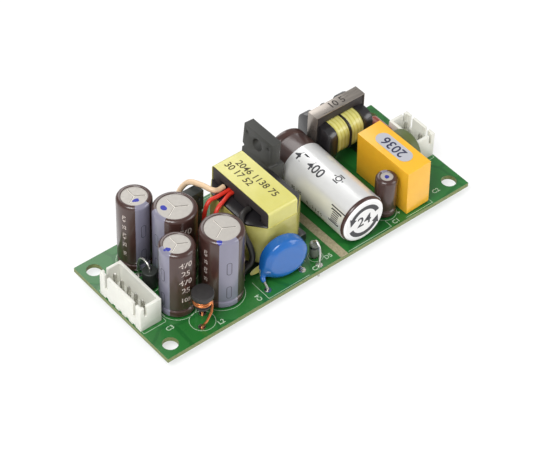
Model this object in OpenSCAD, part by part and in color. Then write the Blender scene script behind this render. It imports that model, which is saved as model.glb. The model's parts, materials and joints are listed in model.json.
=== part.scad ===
// Open frame power supply: a bare circuit board that carries a mains input header, a fuse, an
// inrush limiter, line filter parts, a storage capacitor, a switching transistor, a taped
// transformer, a rectifier and four output capacitors in front of a five-way output header.
// The origin is the centre of the hole pattern on the underside of the board, the long axis
// is X with the output end at -X, and the parts stand up along +Z.

/* [Board] */
// Length of the board from the output end to the input end
board_l = 89; // [88.6:0.2:100]
// Width of the board
board_w = 34.6; // [34.4:0.2:44]
// Thickness of the board
board_t = 1.2; // [0.8:0.2:1.6]
// Diameter of the four corner holes
hole_d = 3.7; // [3.2:0.1:3.8]
// Distance of the corner holes from the short edges
hole_inset_x = 3.2; // [3:0.1:3.3]
// Distance of the corner holes from the long edges
hole_inset_y = 3.3; // [3:0.1:3.4]

/* [Leads] */
// Length of the trimmed leads below the board
lead_tail = 2.3; // [2.1:0.1:3]
// Diameter of the ordinary component leads
lead_d = 0.6; // [0.5:0.05:0.65]
// Width of the solder pads
pad_d = 1.8; // [1.5:0.1:1.9]
// Height of a solder joint below the board
solder_h = 0.8; // [0.5:0.1:1.1]

/* [Headers] */
// Pitch of the header contacts
pin_pitch = 2.5; // [2.4:0.05:2.54]
// Width of the square header pins
pin_w = 0.64; // [0.5:0.02:0.7]
// Depth of a header housing from its outer wall to its inner wall
header_depth = 5.75; // [5.5:0.05:5.9]
// Height of a header housing
header_h = 7; // [6.6:0.1:8]
// Wall of a header housing
header_wall = 0.75; // [0.6:0.05:0.9]
// Distance of an outer header wall from the end of the board
header_inset = 0.1; // [0:0.05:0.3]
// Contacts of the output header
output_ways = 5; // [4:1:5]

/* [Output capacitors] */
// Diameter of the two wide output capacitors
wide_cap_d = 10; // [9:0.1:10.1]
// Diameter of the two slim output capacitors
slim_cap_d = 8; // [7:0.1:8.2]
// Height of the output capacitors
output_cap_h = 20; // [14:0.5:25]

/* [Storage capacitor] */
// Diameter of the storage capacitor, which lies down
bulk_d = 12.3; // [11.5:0.1:12.4]
// Length of the storage capacitor
bulk_l = 29.5; // [26:0.5:29.5]
// Length of the label around it
label_l = 21.5; // [14:0.5:24]

/* [Transformer] */
// Length of the ferrite core across the board
core_l = 19.8; // [19:0.1:20]
// Depth of the core along the board
core_w = 8.2; // [7:0.1:8.2]
// Top of the tape over the core, from the underside of the board
transformer_top = 19; // [18.6:0.1:22]
// Thickness of the yellow tape
tape_t = 0.15; // [0.1:0.05:0.2]

/* [Line filter] */
// Length of the choke's core along the board
choke_l = 14.2; // [13.6:0.1:14.3]
// Top of the choke from the underside of the board
choke_top = 17; // [16.8:0.1:20]
// Length of the film capacitor across the board
film_l = 17.6; // [16.4:0.1:17.8]
// Thickness of the film capacitor
film_w = 6.9; // [6:0.1:7]
// Height of the film capacitor
film_h = 12.9; // [10:0.1:15]
// Lean of the film capacitor towards the output end, in degrees
film_lean = 2.5; // [0:0.5:2.5]

/* [Semiconductors] */
// Width of the two upright power packages
package_w = 10; // [9.6:0.1:10]
// Height of the switching transistor's body
switch_h = 15.8; // [14:0.1:16]
// Lean of the switching transistor towards the input end, in degrees
switch_lean = 4.5; // [3:0.5:5]

/* [Hidden] */

$fn = 48;
wire_r = lead_d / 2;
barrel_gap = 0.15;             // solder between a lead and the wall of its hole
seat = 0.2;                    // gap between the board and a capacitor's base
can_gap = 0.2;                 // thickness of a capacitor's sleeve
bottom_z = -lead_tail;
top_z = board_t;

// Centre lines of the headers
output_wall_x = -board_l / 2 + header_inset;
input_wall_x = board_l / 2 - header_inset;
pin_inset = 2.5;
header_end = 2.45;             // from an end contact to the end of the housing
input_ways = 3;
input_y = -0.1;

// Upright electrolytics: centre x, centre y, diameter, height, lead pitch, turn of the leads
output_caps = [
    [-32.0, 10.85, slim_cap_d, output_cap_h, 3.5, 90],
    [-27.0, 2.8, wide_cap_d, output_cap_h, 5, 0],
    [-33.2, -6.0, slim_cap_d, output_cap_h - 0.6, 3.5, 90],
    [-23.2, -9.0, wide_cap_d, output_cap_h + 0.4, 5, 90]];
supply_cap = [22.4, -12.2, 5, 11.2, 2, 90];
upright_caps = concat(output_caps, [supply_cap]);
cap_rim = 0.9;                 // width of the sleeve's edge on top of a can
seal_h = 1.5;

// Storage capacitor, lying with its leads at the back edge
bulk_x = 12.4;
bulk_y = -16.1;
bulk_z = top_z + 0.15 + bulk_d / 2;
bulk_turn = -1.5;
bulk_pitch = 5;
label_t = 0.1;
bulk_lead_y = bulk_y + bulk_l + 1.6;

// Transformer
tr_x = -6.75;
tr_bottom = 3.05;
core_t = 2.8;
core_x0 = tr_x - core_w / 2;
core_x1 = tr_x + core_w / 2;
core_z0 = tr_bottom + tape_t;
core_z1 = transformer_top - tape_t;
core_split = (core_z0 + core_z1) / 2;
window_y0 = 2.4;
window_y1 = core_l / 2 - core_t;
coil_x0 = -14.3;
coil_x1 = 1.6;
coil_y = 6.2;
coil_back_y = 3.8;
flange_z = 14.1;
flange_t = 0.8;
belly_top = 14.5;
base_z = 3.4;
rail_x = [-15.6, -11.6, -1.7, 2.2];
rail_y = 8.2;
tr_pin_x = [-13.6, 0.6];
tr_pin_y = [-7.5, -2.5, 2.5, 7.5];

// Common mode choke
choke_gap = 0.7;                // from the storage capacitor's side to the choke's core
choke_x = bulk_x + bulk_d / 2 + choke_gap + choke_l / 2;
choke_y = 10.25;
choke_leg = 2.5;
choke_w = 2.9;
choke_ring_z = 8.3;
choke_cy = 9.7;
clip_t = 0.25;
choke_flange_w = 11.6;
choke_flange_h = 9;
choke_pin_x = 5.5;
choke_pin_y = 4;

// Power packages
switch_y = 4.9 + package_w / 2;
switch_x = 2.2;
switch_z = 5;
rectifier_x = -19.6;
rectifier_y = 8.3;
rectifier_z = 2.4;
rectifier_h = 12.2;
package_t = 4.3;
package_tab = 2.6;
package_pitch = 2.54;

// Film, disc and small parts
film_x = 29.3;
film_y = -16.2 + film_l / 2;
film_pitch = 15;
disc_c = [-8.7, -13.0, 7.1];
disc_r = 5.6;
disc_t = 4.2;
disc_turn = 9;
disc_lead_x = [-14.5, -4.5];
disc_lead_y = -14.8;
disc_foot_y = [-12.05, -13.75];
disc_foot_z = [3.9, 1.75];
fuse_x = 36.8;
fuse_y = [2.9, 9.3];
fuse_z = 6;
fuse_r = 1.8;
fuse_lead_y = [2.3, 9.9];
inrush = [36.2, -3.2, 6.5];
inrush_r = 4.8;
inrush_t = 3.6;
inrush_pitch = 5;
drum = [-31.7, -13.1];
drum_top = 10.6;
drum_lead = [[-32.9, -14.4], [-30.3, -11.3]];
bead_at = [-34.3, 2.5];
bead_return_y = 6.7;
diode_at = [0.3, -13.2];
diode_return = [-0.5, -16.0];

// Where the flying leads go through the board
beige_at = [-17.4, 15.2];
red_1_at = [-18.4, 3.6];
red_2_at = [-17.6, 0.6];
black_at = [-17.1, -8.7];

// Every lead that goes through the board: x, y, half width, square or round
function pair(c) = [for (s = [-1, 1]) [c[0] + s * c[4] / 2 * cos(c[5]),
    c[1] + s * c[4] / 2 * sin(c[5]), wire_r, false]];
function bulk_turned(p) = [bulk_x + p[0] * cos(bulk_turn) - p[1] * sin(bulk_turn),
    bulk_y + p[0] * sin(bulk_turn) + p[1] * cos(bulk_turn)];
output_pins = [for (i = [0:output_ways - 1])
    [output_wall_x + pin_inset, (i - (output_ways - 1) / 2) * pin_pitch, pin_w / 2, true]];
input_pins = [for (i = [0, 2]) [input_wall_x - pin_inset, input_y + (i - 1) * pin_pitch, pin_w / 2, true]];
cap_leads = [for (c = upright_caps) each pair(c)];
bulk_leads = [for (s = [-1, 1]) concat(bulk_turned([s * bulk_pitch / 2, bulk_lead_y - bulk_y]), [wire_r, false])];
transformer_leads = [for (x = tr_pin_x, y = tr_pin_y) [x, y, 0.3, true]];
choke_leads = [for (sx = [-1, 1], sy = [-1, 1])
    [choke_x + sx * choke_pin_x, choke_y + sy * choke_pin_y, 0.3, true]];
switch_pins = [for (i = [-1:1]) [switch_x + 1.3, switch_y + i * package_pitch, 0.35, true]];
rectifier_pins = [for (i = [-1:1]) [rectifier_x + i * package_pitch, rectifier_y + 2.3, 0.35, true]];
radial_leads = concat(
    [for (s = [-1, 1]) [film_x, film_y + s * film_pitch / 2, wire_r + 0.1, false]],
    [for (x = disc_lead_x) [x, disc_lead_y, wire_r, false]],
    [for (y = fuse_lead_y) [fuse_x, y, wire_r, false]],
    [for (s = [-1, 1]) [inrush[0], inrush[1] + s * inrush_pitch / 2, wire_r, false]],
    [for (p = drum_lead) [p[0], p[1], wire_r, false]],
    [for (y = [bead_at[1], bead_return_y]) [bead_at[0], y, wire_r, false]],
    [for (p = [diode_at, diode_return]) [p[0], p[1], wire_r, false]],
    [for (p = [beige_at, red_1_at, red_2_at, black_at]) [p[0], p[1], wire_r, false]]);
all_leads = concat(output_pins, input_pins, cap_leads, bulk_leads, transformer_leads,
    choke_leads, switch_pins, rectifier_pins, radial_leads);

// Points of an arc in a plane
function arc(x, y, r, a0, a1, n = 5) =
    [for (i = [0:n]) let (a = a0 + (a1 - a0) * i / n) [x + r * cos(a), y + r * sin(a)]];
function unit(v) = v / norm(v);
// A smooth curve through hand chosen points
function spline(p, a, b, c, d, t) = 0.5 * ((2 * b) + (c - a) * t + (2 * a - 5 * b + 4 * c - d) * t * t
    + (3 * b - a - 3 * c + d) * t * t * t);
function smooth(p, n = 3) = let (m = len(p) - 1) concat(
    [for (i = [0:m - 1], k = [0:n - 1]) spline(p, p[max(i - 1, 0)], p[i], p[i + 1], p[min(i + 2, m)], k / n)],
    [p[m]]);

// A round wire along a list of points, as one closed mesh
module sweep(path, r, side = [1, 0, 0], sides = 8) {
    m = len(path) - 1;
    rings = [for (i = [0:m]) let (
        t = unit(path[min(i + 1, m)] - path[max(i - 1, 0)]),
        u = unit(cross(t, side)),
        v = cross(t, u))
        [for (k = [0:sides - 1]) let (a = 360 * k / sides) path[i] + r * (u * cos(a) + v * sin(a))]];
    points = [for (ring = rings) each ring];
    walls = [for (i = [0:m - 1], k = [0:sides - 1]) let (a = i * sides + k, b = i * sides + (k + 1) % sides)
        each [[b, a, a + sides], [b, a + sides, b + sides]]];
    caps = [[for (k = [0:sides - 1]) k], [for (k = [sides - 1:-1:0]) m * sides + k]];
    polyhedron(points = points, faces = concat(walls, caps));
}

// A block given by two opposite corners
module block(a, b) {
    translate(a) cube(b - a);
}

// A straight lead through the board, up to height z
module lead(l, z) {
    h = z - bottom_z;
    translate([l[0], l[1], bottom_z]) {
        if (l[3]) translate([-l[2], -l[2], 0]) cube([2 * l[2], 2 * l[2], h]);
        else cylinder(h = h, r = l[2]);
    }
}

module board() {
    color("seagreen") difference() {
        translate([-board_l / 2, -board_w / 2, 0]) cube([board_l, board_w, board_t]);
        for (sx = [-1, 1], sy = [-1, 1])
            translate([sx * (board_l / 2 - hole_inset_x), sy * (board_w / 2 - hole_inset_y), -1])
                cylinder(h = board_t + 2, d = hole_d);
        for (l = all_leads)
            translate([l[0], l[1], -1]) cylinder(h = board_t + 2, r = l[2] * (l[3] ? 1.42 : 1) + barrel_gap, $fn = 24);
    }
}

// One joint: a cone below the board and the filled barrel of the hole
module solder_joint(l) {
    barrel = l[2] * (l[3] ? 1.42 : 1) + barrel_gap;
    translate([l[0], l[1], 0]) difference() {
        union() {
            translate([0, 0, -solder_h]) cylinder(h = solder_h, r1 = barrel, r2 = pad_d / 2, $fn = 24);
            cylinder(h = board_t, r = barrel, $fn = 24);
        }
        if (l[3]) translate([-l[2], -l[2], -2]) cube([2 * l[2], 2 * l[2], board_t + 4]);
        else translate([0, 0, -2]) cylinder(h = board_t + 4, r = l[2]);
    }
}

module solder_joints() {
    color("silver") for (l = all_leads) solder_joint(l);
}

// A header housing with its outer wall at x = 0 and its cavity open at the top
module header(ways) {
    half = (ways - 1) / 2 * pin_pitch + header_end;
    floor_t = 1.2;
    slot = 0.9;
    translate([0, 0, top_z]) difference() {
        block([0, -half, 0], [header_depth, half, header_h]);
        block([header_wall, -half + header_wall, floor_t], [header_depth - header_wall, half - header_wall, header_h + 1]);
        for (s = [-1, 1])
            translate([-1, s * (half - 2.3) - slot / 2, 3]) cube([header_wall + 2, slot, header_h]);
        for (s = [-1, 1])
            translate([1.1, s * half - 1, 4.2]) cube([0.7, 2, header_h]);
        for (i = [0:ways - 1])
            translate([-1, (i - (ways - 1) / 2) * pin_pitch - 0.5, -1]) cube([1.6, 1, 1.6]);
        for (i = [0:ways - 1])
            translate([pin_inset - pin_w / 2, (i - (ways - 1) / 2) * pin_pitch - pin_w / 2, -1])
                cube([pin_w, pin_w, floor_t + 2]);
    }
}

module header_pins(pins) {
    color("silver") for (l = pins) {
        lead(l, top_z + header_h - 0.9);
        translate([l[0], l[1], top_z + header_h - 0.9]) hull() {
            translate([-l[2], -l[2], -0.01]) cube([2 * l[2], 2 * l[2], 0.01]);
            translate([-0.18, -0.18, 0.5]) cube([0.36, 0.36, 0.02]);
        }
    }
}

module output_header_housing() {
    color("whitesmoke") translate([output_wall_x, 0, 0]) header(output_ways);
}
module output_header_pins() { header_pins(output_pins); }
module input_header_housing() {
    color("whitesmoke") translate([input_wall_x, input_y, 0]) mirror([1, 0, 0]) header(input_ways);
}
module input_header_pins() { header_pins(input_pins); }

// Outline of a can from its base to its top, with the rolled groove above the seal
function can_side(r, h, grow) = concat(
    arc(r - 0.4, 0.4, 0.4 + grow, -90, 0),
    [[r + grow, seal_h], [r - 0.3 + grow, seal_h + 0.4], [r + grow, seal_h + 0.8]],
    arc(r - 0.7, h - 0.7, 0.7 + grow, 0, 90));

// A can on its base, with a seal recess and, on the wide ones, a three armed vent score
module can(d, h, score) {
    r = d / 2 - can_gap / 2;
    difference() {
        rotate_extrude() polygon(concat([[0, 0]], can_side(r, h, 0), [[0, h]]));
        translate([0, 0, -1]) cylinder(h = seal_h + 1, r = r - 0.6);
        if (score) for (a = [90, 210, 330])
            rotate([0, 0, a]) translate([0, -0.15, h - 0.12]) cube([r * 0.62, 0.3, 1]);
    }
}

module sleeve(d, h) {
    r = d / 2 - can_gap / 2;
    inner = can_side(r, h, 0);
    outer = can_side(r, h, can_gap);
    n = len(inner);
    rotate_extrude() polygon(concat(
        [[r - 1, 0], [r - 1, -can_gap]], outer, [[r - cap_rim, h + can_gap], [r - cap_rim, h]],
        [for (i = [n - 1:-1:0]) inner[i]]));
}

// Height of a standing can's base, which leaves the sleeve's edge just above the board
can_base = top_z + seat + can_gap;

module at_cap(c) { translate([c[0], c[1], can_base]) children(); }
module cap_can(c, score = true) {
    color("lightgray") at_cap(c) can(c[2], c[3] - 2 * can_gap, score);
}
module cap_sleeve(c) {
    color([0.3, 0.2, 0.18]) at_cap(c) sleeve(c[2], c[3] - 2 * can_gap);
}
module output_cap_1_can() { cap_can(output_caps[0]); }
module output_cap_2_can() { cap_can(output_caps[1]); }
module output_cap_3_can() { cap_can(output_caps[2]); }
module output_cap_4_can() { cap_can(output_caps[3]); }
module output_cap_1_sleeve() { cap_sleeve(output_caps[0]); }
module output_cap_2_sleeve() { cap_sleeve(output_caps[1]); }
module output_cap_3_sleeve() { cap_sleeve(output_caps[2]); }
module output_cap_4_sleeve() { cap_sleeve(output_caps[3]); }
module supply_cap_can() { cap_can(supply_cap, false); }
module supply_cap_sleeve() { cap_sleeve(supply_cap); }

// The storage capacitor's own frame: its base at the back edge, its top facing the front edge
module bulk_frame() {
    translate([bulk_x, bulk_y, bulk_z]) rotate([0, 0, bulk_turn])
        translate([0, bulk_l - can_gap, 0]) rotate([90, 0, 0]) children();
}
module storage_cap_can() {
    color("lightgray") bulk_frame() can(bulk_d - 2 * can_gap, bulk_l - 2 * can_gap, false);
}
module storage_cap_sleeve() {
    color([0.3, 0.2, 0.18]) bulk_frame() sleeve(bulk_d - 2 * can_gap, bulk_l - 2 * can_gap);
}
// The wrapped label and the round one on the end, which lies in and over the sleeve's edge
module storage_cap_label() {
    r = bulk_d / 2 - 1.5 * can_gap;
    top = bulk_l - 2 * can_gap;
    color("gainsboro") bulk_frame() {
        translate([0, 0, top - 0.9 - label_l]) difference() {
            cylinder(h = label_l, r = bulk_d / 2);
            translate([0, 0, -1]) cylinder(h = label_l + 2, r = r + can_gap);
        }
        translate([0, 0, top]) cylinder(h = can_gap + label_t, r = r - cap_rim - 0.02);
        translate([0, 0, top + can_gap]) cylinder(h = label_t, r = r - 0.75);
    }
}

module seal(d, pitch, turn) {
    difference() {
        cylinder(h = seal_h, r = d / 2 - can_gap / 2 - 0.6);
        for (s = [-1, 1])
            rotate([0, 0, turn]) translate([s * pitch / 2, 0, -1]) cylinder(h = seal_h + 2, r = wire_r);
    }
}
module capacitor_seals() {
    color([0.12, 0.12, 0.12]) {
        for (c = upright_caps) at_cap(c) seal(c[2], c[4], c[5]);
        bulk_frame() seal(bulk_d - 2 * can_gap, bulk_pitch, 0);
    }
}
module capacitor_leads() {
    color("silver") {
        for (l = cap_leads) lead(l, can_base + seal_h);
        for (i = [0, 1]) {
            p = bulk_turned([(2 * i - 1) * bulk_pitch / 2, bulk_l - can_gap - seal_h]);
            bent_lead([p[0], p[1], bulk_z], bulk_leads[i]);
        }
    }
}

// A lead that leaves a part sideways at p and turns down through the hole l
module bent_lead(p, l, bend = 0.9) {
    corner = [l[0], l[1], p[2]];
    u = unit(p - corner);
    sweep(concat([p],
        [for (a = [0:18:90]) corner + u * bend * (1 - sin(a)) - [0, 0, bend * (1 - cos(a))]],
        [[l[0], l[1], bottom_z]]), l[2], cross([0, 0, 1], u));
}

// Half of the transformer's core: a bar with three legs, from the split to the height z
module core_half(z) {
    up = sign(z - core_split);
    lo = min(z, core_split);
    hi = max(z, core_split);
    color([0.25, 0.24, 0.24]) difference() {
        block([core_x0, -core_l / 2, lo], [core_x1, core_l / 2, hi]);
        for (s = [-1, 1])
            translate([tr_x, s * (window_y0 + window_y1) / 2, core_split - up * core_t / 2])
                cube([core_w + 2, window_y1 - window_y0, 2 * abs(z - core_split) - core_t], center = true);
    }
}
module transformer_core_upper() { core_half(core_z1); }
module transformer_core_lower() { core_half(core_z0); }

// Outline of the tape round the coil and the core's legs, grown by g from its inner face
function belly(g) = let (y = core_l / 2 + tape_t) [
    [core_x0 - 0.05 - 0.4 * g, -y - g], [coil_x0 + tape_t - g, -coil_y - 0.4 * g],
    [coil_x0 + tape_t - g, coil_y + 0.4 * g], [core_x0 - 0.05 - 0.4 * g, y + g],
    [core_x1 + 0.05 + 0.4 * g, y + g], [coil_x1 - tape_t + g, coil_back_y + 0.4 * g],
    [coil_x1 - tape_t + g, -coil_y - 0.4 * g], [core_x1 + 0.05 + 0.4 * g, -y - g]];

// The bobbin: a tube round the centre leg, two flanges inside the tape and two rails for the pins
bobbin_wall = 0.7;
base_top = core_z0 + core_t + 0.8;
tube_x = core_w / 2 + 0.1;
tube_y = window_y0 + 0.1;
module transformer_bobbin() {
    slot_y = window_y1 - 0.1;
    color([0.1, 0.1, 0.1]) difference() {
        union() {
            for (f = [[base_z, base_top], [flange_z, flange_z + flange_t]])
                translate([0, 0, f[0]]) linear_extrude(height = f[1] - f[0]) polygon(belly(-0.05));
            block([tr_x - tube_x - bobbin_wall, -tube_y - bobbin_wall, base_top - 0.5],
                [tr_x + tube_x + bobbin_wall, tube_y + bobbin_wall, flange_z + flange_t]);
            for (i = [0, 2]) block([rail_x[i], -rail_y, top_z], [rail_x[i + 1], rail_y, base_z + 0.2]);
        }
        translate([tr_x, 0, 10]) cube([2 * tube_x, 2 * tube_y, 40], center = true);
        block([tr_x - tube_x, -core_l, 0], [tr_x + tube_x, core_l, core_z0 + core_t + 0.05]);
        for (s = [-1, 1])
            translate([tr_x, s * (slot_y + 5), 10]) cube([2 * tube_x, 10, 40], center = true);
        for (l = transformer_leads) lead(l, base_z);
    }
}

module transformer_winding() {
    x0 = coil_x0 + tape_t + 0.05;
    x1 = coil_x1 - tape_t - 0.05;
    side = window_y1 - 0.2;
    color([0.8, 0.45, 0.2]) difference() {
        translate([0, 0, base_top]) linear_extrude(height = flange_z - base_top)
            polygon([[x0, -5.5], [x0, 5.5], [x0 + 2.7, side], [x1 - 2.7, side],
                [x1, coil_back_y - 0.6], [x1, -5.5], [x1 - 2.7, -side], [x0 + 2.7, -side]]);
        translate([tr_x, 0, 10])
            cube([2 * (tube_x + bobbin_wall), 2 * (tube_y + bobbin_wall), 40], center = true);
    }
}

module transformer_belly_tape() {
    color([0.9, 0.87, 0.5]) translate([0, 0, base_z + 0.2]) difference() {
        linear_extrude(height = belly_top - base_z - 0.2) polygon(belly(tape_t));
        translate([0, 0, -1]) linear_extrude(height = belly_top) polygon(belly(0));
    }
}

module transformer_core_tape() {
    color([0.92, 0.9, 0.55]) difference() {
        block([core_x0, -core_l / 2 - tape_t, tr_bottom], [core_x1, core_l / 2 + tape_t, transformer_top]);
        block([core_x0 - 1, -core_l / 2, core_z0], [core_x1 + 1, core_l / 2, core_z1]);
    }
}

module transformer_pins() {
    color("silver") for (l = transformer_leads) lead(l, base_z);
}

// A sleeved lead from the coil to its hole: the sleeve, then a bare end through the board
module flying_lead(points, at, r, side) {
    stop = top_z + 0.8;
    sweep(smooth(concat(points, [[at[0], at[1], stop]])), r, side);
    translate([at[0], at[1], bottom_z]) cylinder(h = stop + 0.5 - bottom_z, r = wire_r);
}
module flying_lead_beige() {
    color("burlywood") flying_lead([[-11.0, 5.6, 15.6], [-12.8, 5.4, 15.7], [-14.2, 5.9, 16.3],
        [-14.9, 8.8, 16.0], [-15.8, 11.9, 15.1], [-16.5, 14.0, 12.0], [-17.2, 15.0, 8.0],
        [-17.4, 15.2, 4.5]], beige_at, 0.65, [1, 0.5, 0]);
}
module flying_lead_red_1() {
    color("firebrick") flying_lead([[-9.5, 4.2, 15.45], [-11.6, 4.1, 15.45], [-14.3, 4.0, 15.55],
        [-16.1, 4.1, 15.5], [-17.5, 3.8, 14.2], [-18.2, 3.6, 11], [-18.4, 3.6, 6]],
        red_1_at, 0.5, [0, 1, 0]);
}
module flying_lead_red_2() {
    color("firebrick") flying_lead([[-9.5, 3.1, 15.45], [-11.5, 2.95, 15.45], [-14.0, 2.0, 15.5],
        [-15.7, 1.5, 15.2], [-16.9, 1.1, 13.8], [-17.5, 0.7, 10], [-17.6, 0.6, 5]],
        red_2_at, 0.5, [0, 1, 0]);
}
module flying_lead_black() {
    color([0.12, 0.12, 0.12]) flying_lead([[-11.0, -3.4, 15.65], [-12.2, -3.6, 15.8],
        [-13.8, -4.4, 15.9], [-15.2, -5.9, 15.0], [-15.3, -7.0, 13.2], [-14.6, -8.3, 10],
        [-14.3, -8.9, 7.4], [-14.8, -9.1, 5.6], [-16.2, -8.9, 4.4], [-17.0, -8.7, 3.0]],
        black_at, 0.7, [0, 1, 0]);
}

// A rounded block centred on the X axis, from x0 to x1
module rounded_block(x0, x1, w, h, r) {
    translate([x0, -w / 2, -h / 2 + r]) cube([x1 - x0, w, h - 2 * r]);
    translate([x0, -w / 2 + r, -h / 2]) cube([x1 - x0, w - 2 * r, h]);
    for (sy = [-1, 1], sz = [-1, 1])
        translate([x0, sy * (w / 2 - r), sz * (h / 2 - r)]) rotate([0, 90, 0]) cylinder(h = x1 - x0, r = r);
}

// The choke is drawn about the middle of its wound leg
module at_choke() { translate([choke_x, choke_y, choke_cy]) children(); }
choke_z0 = -choke_leg / 2;
choke_z1 = choke_top - clip_t - choke_cy;
choke_window = choke_l / 2 - 2.1;
module choke_core() {
    color([0.3, 0.28, 0.27]) at_choke() difference() {
        block([-choke_l / 2, -choke_w / 2, choke_z0], [choke_l / 2, choke_w / 2, choke_z1]);
        block([-choke_window, -choke_w, choke_z0 + choke_leg], [choke_window, choke_w, choke_z1 - choke_leg]);
    }
}

choke_tube = [choke_w / 2 + 0.6, choke_leg / 2 + 0.6];
flange_x0 = 4.1;
flange_x1 = 6.6;
module choke_bobbin() {
    gap = 0.05;
    color([0.1, 0.1, 0.1]) at_choke() difference() {
        union() {
            block([-flange_x0, -choke_tube[0], -choke_tube[1]], [flange_x0, choke_tube[0], choke_tube[1]]);
            rounded_block(-0.25, 0.25, choke_flange_w, choke_flange_h, 3);
            for (s = [0, 1]) mirror([s, 0, 0]) {
                rounded_block(flange_x0, flange_x1, choke_flange_w, choke_flange_h, 2.6);
                block([flange_x0, -5, top_z - choke_cy], [flange_x1, 5, -choke_flange_h / 2 + 2]);
            }
        }
        block([-choke_window + gap, -choke_w / 2 - gap, choke_z0 - gap],
            [choke_window - gap, choke_w / 2 + gap, -choke_z0 + gap]);
        for (s = [0, 1]) mirror([s, 0, 0])
            block([choke_window - gap, -choke_w / 2 - gap, choke_z0 - gap], [20, choke_w / 2 + gap, 20]);
        translate([-choke_x, -choke_y, -choke_cy]) for (l = choke_leads) lead(l, top_z + 2.5);
    }
}

module choke_windings() {
    color([0.9, 0.87, 0.5]) at_choke() for (s = [0, 1]) mirror([s, 0, 0]) difference() {
        rounded_block(0.25, flange_x0, choke_flange_w - 0.4, choke_flange_h - 0.3, 3.2);
        translate([0, 0, 0]) cube([20, 2 * choke_tube[0], 2 * choke_tube[1]], center = true);
    }
}

module choke_clip() {
    w = 3.3;
    drop = 1.0;
    color("lightsteelblue") at_choke() difference() {
        block([-choke_l / 2 - clip_t, -w / 2, choke_z0 + drop], [choke_l / 2 + clip_t, w / 2, choke_z1 + clip_t]);
        block([-choke_l / 2, -w, choke_z0 - 1], [choke_l / 2, w, choke_z1]);
    }
}

module choke_pins() {
    color("silver") for (l = choke_leads) lead(l, top_z + 2.5);
}

// A moulded power package: flat back at x = 0, thick body below, drilled tab above
module package(h) {
    tab_h = 7;
    difference() {
        union() {
            translate([0, -package_w / 2, 0]) cube([package_t, package_w, h - tab_h]);
            translate([0, -package_w / 2, h - tab_h - 0.01]) cube([package_tab, package_w, tab_h + 0.01]);
        }
        translate([-1, 0, h - 3.2]) rotate([0, 90, 0]) cylinder(h = package_t + 2, d = 3.2);
        for (s = [-1, 1]) translate([-1, s * package_w / 2, h - tab_h + 0.6])
            rotate([0, 90, 0]) cylinder(h = package_t + 2, d = 1.2);
        for (y = [-3.7, 3.7]) translate([-0.2, y, h - 1.9]) rotate([0, 90, 0]) cylinder(h = 0.4, d = 0.9);
    }
}
module switch_body() {
    color([0.25, 0.25, 0.25]) difference() {
        translate([switch_x, switch_y, switch_z]) translate([-1.0, 0, 0])
            rotate([0, switch_lean, 0]) package(switch_h);
        for (l = switch_pins) lead(l, switch_z + 1.2);
    }
}
module switch_leads() { color("silver") for (l = switch_pins) lead(l, switch_z + 1.2); }
module rectifier_body() {
    color([0.15, 0.15, 0.15]) difference() {
        translate([rectifier_x, rectifier_y, rectifier_z]) rotate([0, 0, 90]) package(rectifier_h);
        for (l = rectifier_pins) lead(l, rectifier_z + 1.2);
    }
}
module rectifier_leads() { color("silver") for (l = rectifier_pins) lead(l, rectifier_z + 1.2); }

// The film capacitor leans on its leads
function leads_at(x) = [for (l = all_leads) if (l[0] == x) l];
module film_frame() {
    translate([film_x, film_y, top_z + 0.3]) rotate([0, -film_lean, 0]) children();
}
module film_cap_box() {
    color([0.97, 0.8, 0.3]) difference() {
        film_frame() translate([-film_w / 2, -film_l / 2, 0]) cube([film_w, film_l, film_h]);
        for (l = leads_at(film_x)) translate([l[0], l[1], 0]) cylinder(h = 4, r = l[2]);
    }
}
module film_cap_leads() { color("silver") for (l = leads_at(film_x)) lead(l, 4); }
module film_cap_sticker() {
    l = 11;
    w = 3.8;
    color([0.83, 0.82, 0.9]) film_frame() translate([0, 0, film_h]) {
        translate([-w / 2, -l / 2 + w / 2, 0]) cube([w, l - w, 0.1]);
        for (s = [-1, 1]) translate([0, s * (l - w) / 2, 0]) cylinder(h = 0.1, d = w);
    }
}

// The blue disc capacitor: a coated disc whose coating runs down to both leads
module disc_lead(i) {
    x = disc_lead_x[i];
    y = disc_foot_y[i];
    z = disc_foot_z[i];
    sweep([[x, y, z + 1.5], [x, y, z], [x, disc_lead_y, top_z + 0.3], [x, disc_lead_y, bottom_z]], wire_r);
}
module disc_cap_coating() {
    color([0.25, 0.45, 0.75]) difference() {
        translate(disc_c) rotate([0, disc_turn, -10]) hull() {
            rotate([90, 0, 0]) translate([0, 0, -disc_t / 2]) {
                translate([0, 0, 0.9]) cylinder(h = disc_t - 1.8, r = disc_r, $fn = 36);
                cylinder(h = disc_t, r = disc_r - 1.3, $fn = 36);
            }
            translate([-4.9, 0, -3.6]) sphere(r = 0.75, $fn = 16);
            translate([4.7, 0, -4.3]) sphere(r = 0.75, $fn = 16);
        }
        for (i = [0, 1]) disc_lead(i);
    }
}
module disc_cap_leads() {
    color("silver") for (i = [0, 1]) disc_lead(i);
}

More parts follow.
